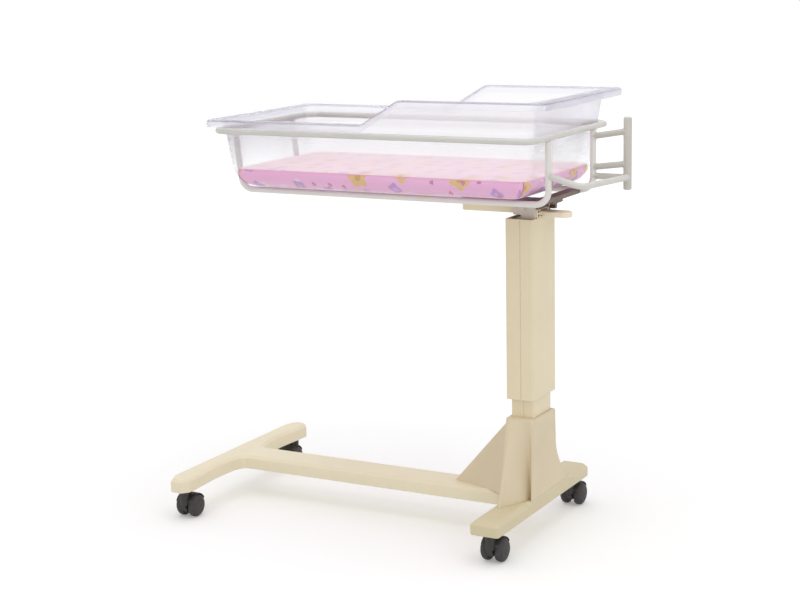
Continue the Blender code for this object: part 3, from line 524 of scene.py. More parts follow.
base_paint = coated("cream_powder_coat", (246, 235, 205), 0.42, 0.0016, 0.00022)
# The cream base paint darkened as painted shade, for the right foot
shaded_foot_paint = coated("cream_coat_painted_shade", (219, 206, 171), 0.42, 0.0016, 0.00022)
column_paint = coated("cream_column_coat", (236, 222, 189), 0.4, 0.0016, 0.0002)
shroud_plastic = coated("cream_moulded_plastic", (226, 211, 180), 0.5, 0.0009, 0.00025)
frame_paint = coated("off_white_tube_coat", (216, 214, 208), 0.36, 0.0014, 0.0002, 0.025)
# The channel's cream, made lighter as painted light against the shade under the basket
lit_channel_paint = coated("cream_channel_coat", (247, 242, 204), 0.42, 0.0014, 0.0002)
# Grey bracket paint made lighter as painted light against the shade under the basin
bracket_paint = coated("grey_bracket_coat_painted_light", (226, 219, 204), 0.42, 0.0012, 0.00025, 0.05, 0.1)
# The bracket paint darkened to brown as painted shade, for the cross bar, strap, tab and housing screws
painted_shade_brown = coated("brown_painted_shade_coat", (112, 94, 80), 0.45, 0.0012, 0.0002, 0.1, 0.1)
# The tube paint made lighter as painted light, for the two hoops
lit_hoop_paint = coated("off_white_coat_painted_light", (235, 232, 227), 0.36, 0.0014, 0.0002, 0.025)
# The tube paint made darker as painted shade, for the grip bar and its arms
shaded_grip_paint = coated("off_white_coat_painted_shade", (204, 201, 192), 0.36, 0.0014, 0.0002, 0.025)
# The cream plastic made lighter as painted light against the shade under the basket, for the lever housing and
# paddle
lit_lever_plastic = coated("cream_lever_plastic", (252, 239, 214), 0.45, 0.0009, 0.0002)
nylon = coated("natural_nylon", (214, 208, 196), 0.45, 0.0008, 0.0002, 0.035)
gas_paint = coated("black_cylinder_coat", (38, 38, 40), 0.35, 0.0012, 0.0002, 0.08)
caster_plastic = coated("black_hood_nylon", (50, 48, 48), 0.48, 0.0007, 0.0003, 0.1)
piping = coated("pink_piping_tape", (252, 196, 220), 0.5, 0.0006, 0.0003, 0.06)
seam_tape = coated("dark_pink_seam_tape", (214, 138, 174), 0.5, 0.0006, 0.0003, 0.06)
steel = steel_material()
tread = tread_material()
clear = clear_material()
cover = cover_material()


# Base: feet, spine, shroud and post
def foot_profile(chamfer, soft):
    """How far a foot's outline is drawn in at each height: eased below, chamfered and eased above."""
    low = 0.0015
    line = [(low, FOOT_Z0), (0.0, FOOT_Z0 + low), (0.0, FOOT_Z1 - chamfer), (chamfer, FOOT_Z1),
            (chamfer + soft * 1.6, FOOT_Z1)]
    return fillet(line, [0.0012, soft * 1.8, soft * 1.8], 5)


bm = bmesh.new()
low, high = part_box("right_foot")
rings = []
for inset, z in foot_profile(0.0092, 0.0022):
    corner = max(0.0055 - inset * 0.4, 0.0008)
    ring = outline(low.x + inset, high.x - inset, low.y + inset, high.y - inset, corner, 6)
    rings.append([(x, y, z) for x, y in ring])
add_loft(bm, rings)
# Its edge is filled up under the shroud's flat side, running out at both ends
LAND_Y0 = -0.084
LAND_Y1 = 0.15
rings = []
for k in range(40):
    y = LAND_Y0 + (LAND_Y1 - LAND_Y0) * k / 39.0
    t = smoothstep((y - LAND_Y0) / 0.014) * smoothstep((LAND_Y1 - y) / 0.04)
    corner = 0.008 * (1.0 - t) + 0.0006
    section = ((0.0, 0.009), (0.0, corner), (corner, 0.0), (0.009, 0.0), (0.012, 0.01))
    rings.append([(CX + FOOT_HALF - inward, y, FOOT_Z1 - down) for inward, down in section])
add_loft(bm, rings)
# The right foot wears the cream paint darkened as painted shade
piece("foot_right_body", bm, "base", shaded_foot_paint, "base_paint", ["right_foot"], sharp=40.0)

LEFT_W = 0.026  # half width and half length of the left foot, half width of the spine's root
LEFT_L = 0.256
ROOT_Y = 0.0385
SCALLOP = 0.007
FLARE = 0.014


def left_plan(share):
    """Outline of the left foot; its long hollows deepen from the underside, share 0, to the top, share 1."""
    dip = SCALLOP * (0.7 + 0.7 * share)
    inner_side = [Vector((LEFT_W - 0.012, LEFT_L))]
    inner_side += spline([
        (LEFT_W, LEFT_L - 0.016),
        (LEFT_W - 0.0005, LEFT_L - 0.05),
        (LEFT_W - dip * 0.75, LEFT_L - 0.095),
        (LEFT_W - dip, LEFT_L - 0.13),
        (LEFT_W - dip * 0.75, ROOT_Y + 0.048),
        (LEFT_W - 0.001, ROOT_Y + 0.022),
        (LEFT_W + FLARE * 0.35, ROOT_Y + 0.007),
        (LEFT_W + FLARE, ROOT_Y),
    ])
    inner_side.append(Vector((LEFT_W + FLARE + 0.012, ROOT_Y - 0.0002)))
    outer_side = [(-LEFT_W, LEFT_L - 0.03), (-LEFT_W + 0.014, LEFT_L)]
    plan = [Vector((x, -y)) for x, y in inner_side] + inner_side[::-1]
    return plan + [Vector(p) for p in outer_side[::-1]] + [Vector((x, -y)) for x, y in outer_side]


bm = bmesh.new()
rings = []
for inset, z in foot_profile(0.006, 0.0014):
    plan = left_plan((z - FOOT_Z0) / (FOOT_Z1 - FOOT_Z0))
    rings.append([(LFX + p.x, p.y, z) for p in draw_in(plan, inset)])
add_loft(bm, rings)
piece("foot_left_body", bm, "base", base_paint, "base_paint", ["left_foot"])

bm = bmesh.new()
low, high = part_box("spine_beam")
top = high.z + 0.0002
section = [(low.y + 0.002, low.z), (low.y, low.z + 0.002), (low.y, top - 0.006), (low.y + 0.006, top)]
section += [(-y, z) for y, z in section[::-1]]
rounding = [0.0008, 0.0008, 0.0045, 0.0045] * 2
section = fillet(section[-1:] + section + section[:1], rounding, 5)[1:-1]
add_loft(bm, [[(x, y, z) for y, z in section] for x in (low.x - 0.004, high.x + 0.0002)])
piece("spine_body", bm, "base", base_paint, "base_paint", ["spine_beam"], sharp=40.0)

# Shroud: a blade along the spine, a ridge along the foot, a hollow between, a flat side over the foot's edge
FRONT_TOP = 0.062  # half depth of the shroud's top, in front and behind
BACK_TOP = 0.052
LEVELS = 28
TOP_EASE = 0.0035
prow = spline([(-0.175, -0.0045), (-0.1085, -0.0235), (-0.058, -0.046), (-0.038, -0.066), (-0.024, -0.092),
               (-0.0175, -0.116), (-0.0135, -0.1375)])
ridge = [Vector(p) for p in ((-0.0125, -0.1392), (-0.01, -0.1398), (-0.0075, -0.1385))]
cove = spline([(-0.0065, -0.1355), (-0.001, -0.121), (0.011, -0.095), (0.0185, -0.072), (0.0225, -0.057),
               (0.0264, -0.0535), (0.0294, -0.0655)])
fin = [Vector(p) for p in ((0.03, -0.0712), (0.031, -0.0718), (0.0315, -0.0708))]


def prow_top(half):
    """Where the prow's side and the ridge meet the top, for a top of that half depth."""
    corner = 0.01
    straight = int(len(prow) * 0.84)
    line = [(-FOOT_HALF, -0.0045 - (half - 0.0145) * k / (straight - 1)) for k in range(straight)]
    line += arc(corner - FOOT_HALF, corner - half, corner, corner, len(prow) - straight, 180.0, 270.0)[1:]
    return [Vector(p) for p in line] + [Vector((-0.0195 + 0.0015 * k, -half)) for k in range(len(ridge))]


front_base = prow + ridge + cove + fin
front_top = prow_top(FRONT_TOP)
front_top += [Vector((-0.015 + 0.0405 * k / (len(cove) - 1), -FRONT_TOP)) for k in range(len(cove))]
front_top += [Vector(p) for p in arc(0.0255, 0.006 - FRONT_TOP, 0.006, 0.006, len(fin), -90.0, 0.0)[1:]]
back_base = prow + ridge
back_top = prow_top(BACK_TOP)


def shroud_level(t, inset):
    """One level of the shroud from 0 at the foot to 1 at the top, counter-clockwise from the prow."""
    front = [a.lerp(b, t) for a, b in zip(front_base, front_top)]
    back = [a.lerp(b, t) for a, b in zip(back_base, back_top)]
    sweep = 0.057 * max(0.0, 1.0 - t / 0.55) ** 1.6
    edge = Vector((FOOT_HALF, -0.06 + 0.008 * t - sweep))
    flank_start = back[-1]
    flank_end = edge + Vector((-0.003, 0.0004))
    for k in range(1, 13):
        p = flank_start.lerp(flank_end, k / 12.0)
        p.y += 0.01 * (1.0 - t) * sin(pi * k / 12.0)
        back.append(p)
    back += [edge + Vector((-0.001, 0.0006)), edge + Vector((0.0, 0.0022))]
    back = [Vector((x, -y)) for x, y in back[::-1]]
    flat = [front[-1].lerp(back[0], k / 14.0) for k in range(1, 14)]
    return draw_in(front + flat + back, inset)


def around(points, x, y, corner):
    """For each point of an outline, its place on a smaller rounded rectangle, by the same share of turn."""
    made = []
    for p in points:
        way = Vector((p[0] - CX, p[1]))
        q = way * min(x / max(abs(way.x), 1e-6), y / max(abs(way.y), 1e-6))
        over = Vector((abs(q.x) - (x - corner), abs(q.y) - (y - corner)))
        if over.x > 0.0 and over.y > 0.0:
            over = over.normalized() * corner
            q = Vector((copysign(x - corner + over.x, q.x), copysign(y - corner + over.y, q.y)))
        made.append((CX + q.x, q.y))
    return made


bm = bmesh.new()
z0 = FOOT_Z1 + 0.0003
levels = [(k / LEVELS, 0.0, z0 + (SHROUD_TOP - z0) * k / LEVELS) for k in range(LEVELS)]
levels += [(1.0, inset, z) for inset, z in arc(TOP_EASE, SHROUD_TOP - TOP_EASE, -TOP_EASE, TOP_EASE, 4)]
rings = [[(CX + p.x, p.y, z) for p in shroud_level(t, inset)] for t, inset, z in levels]
mouth = around(rings[-1], POST_X + 0.0011, POST_Y + 0.0011, 0.004)
rings += [[(x, y, z) for x, y in mouth] for z in (SHROUD_TOP, SHROUD_TOP - 0.02, z0)]
add_loft(bm, rings, True)
piece("shroud_shell", bm, "base", shroud_plastic, "shroud_plastic", ["shroud"], sharp=38.0)


def add_box_tube(bm, x, y, wall, corner, z0, z1):
    """A box tube with rounded edges and a groove down its front."""
    ease = 0.0007
    groove = 0.0012 - y
    notch = [(0.002, -y), (0.0024, groove), (0.0036, groove), (0.004, -y)]
    outer = outline(-x, x, -y, y, corner, 7) + notch
    inner = outline(wall - x, x - wall, wall - y, y - wall, max(corner - wall, 0.001), 7)
    inner += [(px, wall - y) for px, py in notch]
    levels = ((inner, z0 + ease, 0.0), (inner, z0, -ease), (outer, z0, ease), (outer, z0 + ease, 0.0),
              (outer, z1 - ease, 0.0), (outer, z1, ease), (inner, z1, -ease), (inner, z1 - ease, 0.0))
    add_loft(bm, [[(CX + px * (1.0 - amount / x), py * (1.0 - amount / y), z) for px, py in ring]
                  for ring, z, amount in levels], True)


for name, node, body, x, y, wall, corner in (
    ("post_tube", "inner_post", "base", POST_X, POST_Y, 0.0025, 0.004),
    ("sleeve_tube", "outer_sleeve", "lift", SLEEVE_X, SLEEVE_Y, 0.003, 0.0048),
):
    bm = bmesh.new()
    low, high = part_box(node)
    add_box_tube(bm, x, y, wall, corner, low.z, high.z)
    piece(name, bm, body, column_paint, "base_paint", [node], sharp=30.0)

# On the sleeve: bracket, pin, housing and lever
bm = bmesh.new()
low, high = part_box("tilt_bracket")
CHEEK_IN = 0.032
CHEEK_OUT = 0.038
x0 = CX - 0.021
x1 = high.x
top = high.z
add_box(bm, (x0 + 0.02, -CHEEK_OUT, low.z), (x1, CHEEK_OUT, SLEEVE_Z1 - 0.0005))
cheek = [(x0, SLEEVE_Z1 + 0.006), (x0 + 0.017, SLEEVE_Z1 + 0.0052), (x0 + 0.02, SLEEVE_Z1 - 0.009),
         (x1, SLEEVE_Z1 - 0.009), (x1, top - 0.004), (x1 - 0.006, top), (x0 + 0.005, top), (x0, top - 0.004)]
for side in (-1.0, 1.0):
    flat = [(x, side * CHEEK_IN, z) for x, z in cheek]
    add_prism(bm, flat, (0.0, side * (CHEEK_OUT - CHEEK_IN), 0.0))
piece("bracket_cheeks", bm, "lift", bracket_paint, "bracket_paint", ["tilt_bracket"], 0.0012)
# A black box in the sleeve's mouth, standing for the shade seen through the gap under the cheeks
painted_shade_box = ((CX - 0.0268, -0.0365, SLEEVE_Z1 - 0.016), (x0 + 0.0195, 0.0365, SLEEVE_Z1 - 0.003))
box_piece("sleeve_mouth_painted_shade", [painted_shade_box], "lift", gas_paint, "gas_cylinder_paint", (), 0.0008)

bm = bmesh.new()
low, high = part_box("tilt_pin")
y0 = low.y + 0.0002
y1 = high.y - 0.0002
pin = [(TINY, y0), (0.0046, y0), (0.005, y0 + 0.0006), (0.005, y1 - 0.0006), (0.0046, y1), (TINY, y1)]
add_lathe(bm, pin, (CX, 0.0, TILT_Z), SIDEWAYS, 32)
clip = [(0.0051, 0.0), (0.008, 0.0), (0.008, 0.0011), (0.0051, 0.0011)]
for side in (-1.0, 1.0):
    add_lathe(bm, clip, (CX, side * (CHEEK_OUT + 0.0004), TILT_Z), (0.0, side, 0.0), 32)
piece("tilt_pin_clips", bm, "lift", bracket_paint, "steel", ["tilt_pin"])

low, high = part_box("lever_housing")
OPEN_Y = 0.0185  # half width and half height of the housing's opening
OPEN_Z = 0.0065
SEAT_Y = OPEN_Y + 0.001
box_piece("housing_shell", [
    (low, (high.x, -OPEN_Y, high.z)),
    ((low.x, OPEN_Y, low.z), high),
    ((low.x, -SEAT_Y, low.z), (high.x, SEAT_Y, LEVER_Z - OPEN_Z)),
    ((low.x, -SEAT_Y, LEVER_Z + OPEN_Z), (high.x, SEAT_Y, high.z)),
], "lift", lit_lever_plastic, "shroud_plastic", ["lever_housing"], 0.0008)
bm = bmesh.new()
for y in (-0.0265, 0.0265):
    for z in (0.6845, 0.6765):
        add_screw(bm, (high.x, y, z), (1.0, 0.0, 0.0), 0.0019)
# The screw heads are brown as painted shade
piece("housing_screws", bm, "lift", painted_shade_brown, "steel")

bm = bmesh.new()
low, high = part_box("release_lever")
PADDLE_R = 0.018
PADDLE_T = 0.011
paddle_x0 = CX + 0.0345
paddle_z0 = LEVER_Z + 0.003 - PADDLE_T
add_box(bm, (low.x, -PADDLE_R, LEVER_Z - 0.004), (CX + SLEEVE_X + 0.01, PADDLE_R, LEVER_Z + 0.004))
paddle = [(paddle_x0, -PADDLE_R)] + arc(high.x - PADDLE_R, 0.0, PADDLE_R, PADDLE_R, 16, -90.0)
paddle.append((paddle_x0, PADDLE_R))
add_prism(bm, [(x, y, paddle_z0) for x, y in paddle], (0.0, 0.0, PADDLE_T))
piece("lever_paddle", bm, "lever", lit_lever_plastic, "shroud_plastic", ["release_lever"], 0.0022)

# Basket: support channel, cross plate and bent tubes
low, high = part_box("support_channel")
wall = 0.003
strap_x0 = low.x
low.z -= 0.0032
box_piece("channel_profile", [
    ((low.x, low.y, high.z - wall), high),
    (low, (high.x, low.y + wall, high.z)),
    ((low.x, high.y - wall, low.z), high),
], "basket", lit_channel_paint, "frame_paint", ["support_channel"], 0.0007)

low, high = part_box("cross_plate")
CROSS_Z1 = HOOP_Z - TUBE_R - 0.0003
# Bar, strap and tab are brown as painted shade; the tab is there only for the shade between the housing and the
# bar
bar = ((CX + 0.038, low.y, CROSS_Z1 + 0.0005), (high.x, high.y, CROSS_Z1 + 0.0095))
strap = ((strap_x0, -0.024, CROSS_Z1 - 0.0053), (high.x - 0.003, 0.024, CROSS_Z1))
shade_tab = ((CX + 0.0335, 0.0205, 0.685), (CX + 0.0455, 0.0315, CROSS_Z1 - 0.002))
box_piece("cross_bar", [bar], "basket", painted_shade_brown, "bracket_paint", ["cross_plate"], 0.0012)
box_piece("cross_strap", [strap, shade_tab], "basket", painted_shade_brown, "bracket_paint", (), 0.0008)
bm = bmesh.new()
for x in (strap_x0 + 0.018, strap_x0 + 0.07, CX - 0.02):
    for side in (-1.0, 1.0):
        add_screw(bm, (x, side * 0.013, CROSS_Z1), UPRIGHT, 0.0026)
piece("strap_bolts", bm, "basket", steel, "steel")


def wall_at(z, inset=0.0):
    """Left end, right end and half width of the basin's wall at a height, inset from its outer face."""
    lean = (RIM_LOW - z) * TAN + inset
    return WALL_X0 + lean, WALL_X1 - (RIM_HIGH - z) * TAN - inset, WALL_Y - lean


rail_x1 = CX + 0.0895
rail_x0 = wall_at(RAIL_Z)[0] - TUBE_R - 0.001
rail_mid = (rail_x0 + rail_x1) / 2.0
corners = [(rail_mid, -RAIL_Y), (rail_x1, -RAIL_Y), (rail_x1, RAIL_Y), (rail_x0, RAIL_Y), (rail_x0, -RAIL_Y),
           (rail_mid, -RAIL_Y)]
path = fillet([(x, y, RAIL_Z) for x, y in corners], RAIL_BEND)[:-1]
tube_piece("rail_tube", path, frame_paint, "upper_rail", True)

hoop_x0 = rail_x0 + (RAIL_Z - HOOP_Z) * TAN
for side, node in ((-1.0, "front_hoop"), (1.0, "back_hoop")):
    line = [(rail_x1, RAIL_Z - 0.002), (rail_x1, HOOP_Z), (hoop_x0, HOOP_Z),
            (rail_x0 + 0.002 * TAN, RAIL_Z - 0.002)]
    path = fillet([(x, side * HOOP_Y, z) for x, z in line], HOOP_BEND)
    # The hoops wear the tube paint lightened as painted light
    tube_piece(node + "_tube", path, lit_hoop_paint, node)

grip_x = CX + 0.164
GRIP_Z0 = 0.716
GRIP_Z1 = 0.864
loop_z = 0.742
front_z = 0.768
lower_z = 0.7602
upper_z = 0.823
loop = [(rail_x1 + TUBE_R * 0.4, -HOOP_Y, front_z), (grip_x - 0.008, -HOOP_Y, loop_z + 0.0078),
        (grip_x, HOOP_Y - GRIP_R * 0.5, loop_z)]
tube_piece("handle_loop_tube", fillet(loop, 0.026), frame_paint, "handle_loop")
arms = (
    ("handle_back_arm", loop_z, loop_z),
    ("grip_arm_lower", lower_z, lower_z + 0.009),
    ("grip_arm_upper", upper_z, upper_z + 0.012),
)
# The arms and the grip bar wear the tube paint darkened as painted shade
for node, za, zb in arms:
    path = [(rail_x1 + 0.002, HOOP_Y, za), (grip_x - 0.002, HOOP_Y, zb)]
    tube_piece(node + "_tube", path, shaded_grip_paint, node)
dome = GRIP_R * 0.35
bar_end = arc(0.0, 0.0, GRIP_R, dome, 5)
path = [(grip_x, HOOP_Y, GRIP_Z0 + dome - up) for r, up in bar_end[::-1]]
path += [(grip_x, HOOP_Y, GRIP_Z1 - dome + up) for r, up in bar_end]
radii = [max(r, GRIP_R * 0.05) for r, up in bar_end]
tube_piece("grip_bar_tube", path, shaded_grip_paint, "grip_bar", False, radii[::-1] + radii, 50.0)


def add_weld(bm, centre, along, other, big=TUBE_R):
    """A bead where a tube that comes from along meets a thicker or equal tube that runs along other."""
    along = Vector(along).normalized()
    other = Vector(other)
    across = along.cross(other).normalized()
    big = max(big, TUBE_R * 1.12)
    path = []
    for k, (c, s) in enumerate(circle(36)):
        depth = sqrt(big * big - (TUBE_R * s) ** 2)
        uneven = 0.0002 * sin(pi * k / 2.0)
        path.append(Vector(centre) + along * (depth + uneven) + (other * c + across * s) * TUBE_R)
    add_tube(bm, path, 0.0014, True, 8)


bm = bmesh.new()
for side in (-1.0, 1.0):
    add_weld(bm, (rail_x1, side * HOOP_Y, RAIL_Z), (0.0, 0.0, -1.0), SIDEWAYS)
    add_weld(bm, (rail_x0, side * HOOP_Y, RAIL_Z), (TAN, 0.0, -1.0), SIDEWAYS)
add_weld(bm, (rail_x1, -HOOP_Y, front_z), (1.0, 0.0, -0.15), UPRIGHT)
add_weld(bm, (grip_x, HOOP_Y, loop_z), (0.0, -1.0, 0.0), UPRIGHT, GRIP_R)
for node, za, zb in arms:
    lift = (zb - za) / (grip_x - rail_x1)
    add_weld(bm, (rail_x1, HOOP_Y, za), (1.0, 0.0, lift), UPRIGHT)
    add_weld(bm, (grip_x, HOOP_Y, zb), (-1.0, 0.0, -lift), UPRIGHT, GRIP_R)
piece("tube_welds", bm, "basket", frame_paint, "frame_paint", (), sharp=60.0)


# Clear basin
def rise(x):
    """Height of the rim at a place along the basin."""
    t = clamp((x - STEP_X0) / (STEP_X1 - STEP_X0))
    near = min(t, 1.0 - t)
    if near < STEP_SOFT:
        share = near * near / (2.0 * STEP_SOFT * (1.0 - STEP_SOFT))
    else:
        share = (near - STEP_SOFT / 2.0) / (1.0 - STEP_SOFT)
    return RIM_LOW + RIM_STEP * (share if t < 0.5 else 1.0 - share)


SIDE_X = [STEP_X0 + (STEP_X1 - STEP_X0) * k / 24.0 for k in range(25)] + [-0.25, -0.17, -0.09, 0.17, 0.23]
SIDE_Y = [-0.08, 0.0, 0.08]
TURN_STEPS = 10


def wall_ring(inset, radius, height):
    """A ring on the tapered wall; height is a number or a function of x."""
    points = []
    level = not callable(height)
    left = wall_at(height if level else RIM_LOW, inset)[0]
    right = wall_at(height if level else RIM_HIGH, inset)[1]
    half = WALL_Y - inset
    for x, y in outline(left, right, -half, half, radius, TURN_STEPS, SIDE_X, SIDE_Y):
        z = height if level else height(x)
        y -= (RIM_LOW - z) * TAN * clamp(y / (half - radius), -1.0)
        points.append((x, y, z))
    return points


def rim_ring(inset, drop):
    ring = outline(RIM_X0 + inset, RIM_X1 - inset, inset - RIM_Y, RIM_Y - inset, RIM_CORNER - inset,
                   TURN_STEPS, SIDE_X, SIDE_Y)
    return [(x, y, rise(x) - drop) for x, y in ring]


def bowl_rings(inset0, radius, floor):
    """Rings from the basin's floor up its rounded foot."""
    steps = arc(inset0 + radius, floor + radius, radius, -radius, 8, 90.0, 180.0)
    return [wall_ring(inset, max(BASIN_CORNER - inset, 0.01), z) for inset, z in steps]


inside = bowl_rings(THIN_T, BASIN_FILLET - THIN_T, BASIN_Z0 + THIN_T)
outside = bowl_rings(0.0, BASIN_FILLET, BASIN_Z0)
rim = [
    (inside[-1], 0.0), (wall_ring(WALL_T, BASIN_CORNER - WALL_T, rise), 0.0055), (rim_ring(0.0, 0.0), 0.0042),
    (rim_ring(0.0, LIP), 0.0012), (rim_ring(WALL_T, LIP), 0.0012), (rim_ring(WALL_T, WALL_T), 0.0016),
    (wall_ring(0.0, BASIN_CORNER, lambda x: rise(x) - WALL_T), 0.004), (outside[-1], 0.0),
]
bends = [r for ring, r in rim[1:-1]]
strips = [fillet([ring[i] for ring, r in rim], bends, 4) for i in range(len(inside[0]))]
edge_rings = [[strip[k] for strip in strips] for k in range(1, len(strips[0]) - 1)]
# How strongly painted shade darkens each ring of the rim's first three bends
RIM_EDGE_SHADE = (0.03, 0.33, 0.5, 0.33, 0.03, 0.18, 0.85, 1.0, 0.85, 0.18, 0.1, 0.32, 0.4, 0.32, 0.1)
bm = bmesh.new()
edge_shade_layer = bm.verts.layers.float.new("rim_edge_shade")
rows = add_loft(bm, inside + edge_rings + outside[::-1])
for row, share in zip(rows[len(inside):], RIM_EDGE_SHADE):
    for vert in row:
        vert[edge_shade_layer] = share
piece("basin_shell", bm, "basin", clear, "basin_clear", ["basin"], sharp=75.0)

# Mattress: a boxed foam pad, grown on a grid so that its seams stay where they are sewn
PAD_Z0 = BASIN_Z0 + THIN_T + 0.0005
PAD_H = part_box("mattress")[0].z + 0.0409 - PAD_Z0
pad_x0, pad_x1, PAD_Y = wall_at(PAD_Z0 + PAD_H - 0.006, WALL_T + 0.003)
pad_x0 += 0.007
PLAN_R = 0.024
TOP_R = 0.008
UNDER_H = 0.029
UNDER_IN = 0.043
CELL = 0.0072
TOP_TURN = 45.0
UNDER_TURN = 65.0
count_x = int(round((pad_x1 - pad_x0) / CELL))
count_y = int(round(2.0 * PAD_Y / CELL))
count_z = 7
mid_x = (pad_x0 + pad_x1) / 2.0
half_x = (pad_x1 - pad_x0) / 2.0
low_z = UNDER_H * (1.0 - sin(radians(UNDER_TURN)))
side_h = PAD_H - TOP_R * (1.0 - sin(radians(TOP_TURN))) - low_z


def pad_point(i, j, k):
    """A point of the box grid, rounded in plan, at its top edge and below, to lie in the basin's hollow."""
    x = -half_x + 2.0 * half_x * i / count_x
    y = -PAD_Y + 2.0 * PAD_Y * j / count_y
    depth = min(half_x - abs(x), PAD_Y - abs(y))
    inset = 0.0
    if k in (0, count_z):
        first, reach = (TOP_TURN, TOP_R) if k else (UNDER_TURN, UNDER_IN)
        turn = radians(first + (90.0 - first) * min(depth / reach, 1.0))
        z = PAD_H - TOP_R * (1.0 - sin(turn)) if k else UNDER_H * (1.0 - sin(turn))
        if depth < reach:
            inset = reach * (1.0 - cos(turn)) - depth
    else:
        z = low_z + side_h * k / count_z
        if z < UNDER_H:
            inset = UNDER_IN * (1.0 - sqrt(max(1.0 - ((UNDER_H - z) / UNDER_H) ** 2, 0.0)))
        elif z > PAD_H - TOP_R:
            inset = TOP_R - sqrt(max(TOP_R ** 2 - (z - PAD_H + TOP_R) ** 2, 0.0))
    qx = abs(x) - (half_x - PLAN_R)
    qy = abs(y) - (PAD_Y - PLAN_R)
    if qx > 0.0 and qy > 0.0:
        scale = max(max(qx, qy) - inset, 0.0) / hypot(qx, qy)
        x = copysign(half_x - PLAN_R + qx * scale, x)
        y = copysign(PAD_Y - PLAN_R + qy * scale, y)
    elif qx > qy:
        x = copysign(abs(x) - inset, x)
    else:
        y = copysign(abs(y) - inset, y)
    return (mid_x + x, y, PAD_Z0 + z)


bm = bmesh.new()
made = {}
uv_layer = bm.loops.layers.uv.new("cover")
step_x = 2.0 * half_x / count_x
step_y = 2.0 * PAD_Y / count_y
step_v = side_h / count_z


def pad_pair(u, v, first, second):
    """The faces of one cell on two opposite sides; each side gives a grid point and its place on the cover."""
    ring = [(u, v), (u + 1, v), (u + 1, v + 1), (u, v + 1)]
    for side, cell in ((first, ring), (second, ring[::-1])):
        places = [side(a, b) for a, b in cell]
        for key, uv in places:
            if key not in made:
                made[key] = bm.verts.new(pad_point(*key))
        face = bm.faces.new([made[key] for key, uv in places])
        for loop, (key, uv) in zip(face.loops, places):
            loop[uv_layer].uv = uv


for i in range(count_x):
    for j in range(count_y):
        pad_pair(i, j, lambda a, b: ((a, b, count_z), (a * step_x, b * step_y)),
                 lambda a, b: ((a, b, 0), (a * step_x + 0.4, b * step_y + 0.5)))
for k in range(count_z):
    for i in range(count_x):
        pad_pair(i, k, lambda a, c: ((a, 0, c), (a * step_x + 1.0, c * step_v + 1.0)),
                 lambda a, c: ((a, count_y, c), (3.0 - a * step_x, c * step_v + 1.3)))
    for j in range(count_y):
        pad_pair(j, k, lambda b, c: ((count_x, b, c), (4.0 + b * step_y, c * step_v + 1.0)),
                 lambda b, c: ((0, b, c), (6.0 - b * step_y, c * step_v + 1.6)))
bm.verts.index_update()
index = {key: vert.index for key, vert in made.items()}
smooth(bm)
pad = mesh_object("mattress_pad", bm, cover)


def swell(ob, frames=20, limit=0.003):
    """Blow the cover up a little with cloth, then keep the result with no point moved further than limit."""
    rest = [v.co.copy() for v in ob.data.vertices]
    held = ob.vertex_groups.new(name="held")
    held.add([n for (i, j, k), n in index.items() if k == 0], 1.0, "REPLACE")
    edges = [n for (i, j, k), n in index.items() if k == count_z and (i in (0, count_x) or j in (0, count_y))]
    held.add(edges, 0.85, "REPLACE")
    mod = ob.modifiers.new("cloth", "CLOTH")
    cloth = mod.settings
    cloth.quality = 6
    cloth.mass = 0.3
    cloth.tension_stiffness = 12.0
    cloth.compression_stiffness = 12.0
    cloth.bending_stiffness = 0.6
    cloth.use_pressure = True
    cloth.uniform_pressure_force = 4.0
    cloth.vertex_group_mass = "held"
    cloth.effector_weights.gravity = 0.0
    mod.collision_settings.use_collision = False
    mod.point_cache.frame_start = 1
    mod.point_cache.frame_end = frames
    for number in range(1, frames + 1):
        scene.frame_set(number)
    seen = ob.evaluated_get(bpy.context.evaluated_depsgraph_get())
    moved = [v.co.copy() for v in seen.data.vertices]
    ob.modifiers.remove(mod)
    scene.frame_set(1)
    for vert, a, b in zip(ob.data.vertices, rest, moved):
        step = b - a
        if step.length > limit:
            step *= limit / step.length
        vert.co = a + step
    ob.data.update()


def in_hollow(co):
    """A point of the pad kept a little clear of the basin's tapered wall and its rounded foot."""
    bowl = BASIN_FILLET - THIN_T
    clear_by = 0.0007
    h = clamp(co.z - BASIN_Z0 - THIN_T, clear_by, bowl)
    inset = THIN_T + bowl - sqrt(max((bowl - clear_by) ** 2 - (bowl - h) ** 2, 0.0))
    left, right, half = wall_at(co.z, inset)
    corner = max(BASIN_CORNER - inset, 0.01)
    middle = Vector((clamp(co.x, left + corner, right - corner), clamp(co.y, corner - half, half - corner)))
    out = Vector((clamp(co.x, left, right), clamp(co.y, -half, half))) - middle
    if out.length > corner:
        out *= corner / out.length
    return Vector((middle.x + out.x, middle.y + out.y, co.z))


swell(pad)
for vert in pad.data.vertices:
    x, y, z = vert.co
    if z > PAD_Z0 + PAD_H * 0.8:
        crown = max(0.0, (1.0 - ((x - mid_x) / half_x) ** 4) * (1.0 - (y / PAD_Y) ** 4))
        wave = 0.0005 * sin(31.0 * x + 17.0 * y) * sin(23.0 * y + 5.0)
        vert.co.z += (0.0022 + wave) * crown
    vert.co = in_hollow(vert.co)
pad.data.update()
finer = pad.modifiers.new("finer", "SUBSURF")
finer.levels = 1
finer.render_levels = 1
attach(pad, "mattress")
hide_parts("mattress")


def seam_line(keys):
    """The places of a row of grid points on the finished pad."""
    return [pad.data.vertices[index[key]].co.copy() for key in keys]


half_loop = [(i, 0) for i in range(count_x)] + [(count_x, j) for j in range(count_y)]
top_loop = half_loop + [(count_x - i, count_y - j) for i, j in half_loop]
bm = bmesh.new()
add_tube(bm, seam_line([(i, j, count_z) for i, j in top_loop]), 0.0008, True, 8)
piece("mattress_piping", bm, "mattress", piping, "mattress_cover", (), sharp=60.0)
bm = bmesh.new()
for i, j in ((0, 0), (count_x, 0), (count_x, count_y), (0, count_y)):
    add_tube(bm, seam_line([(i, j, k) for k in range(1, count_z + 1)]), 0.001, False, 8)
piece("mattress_seams", bm, "mattress", seam_tape, "mattress_cover", (), sharp=60.0)


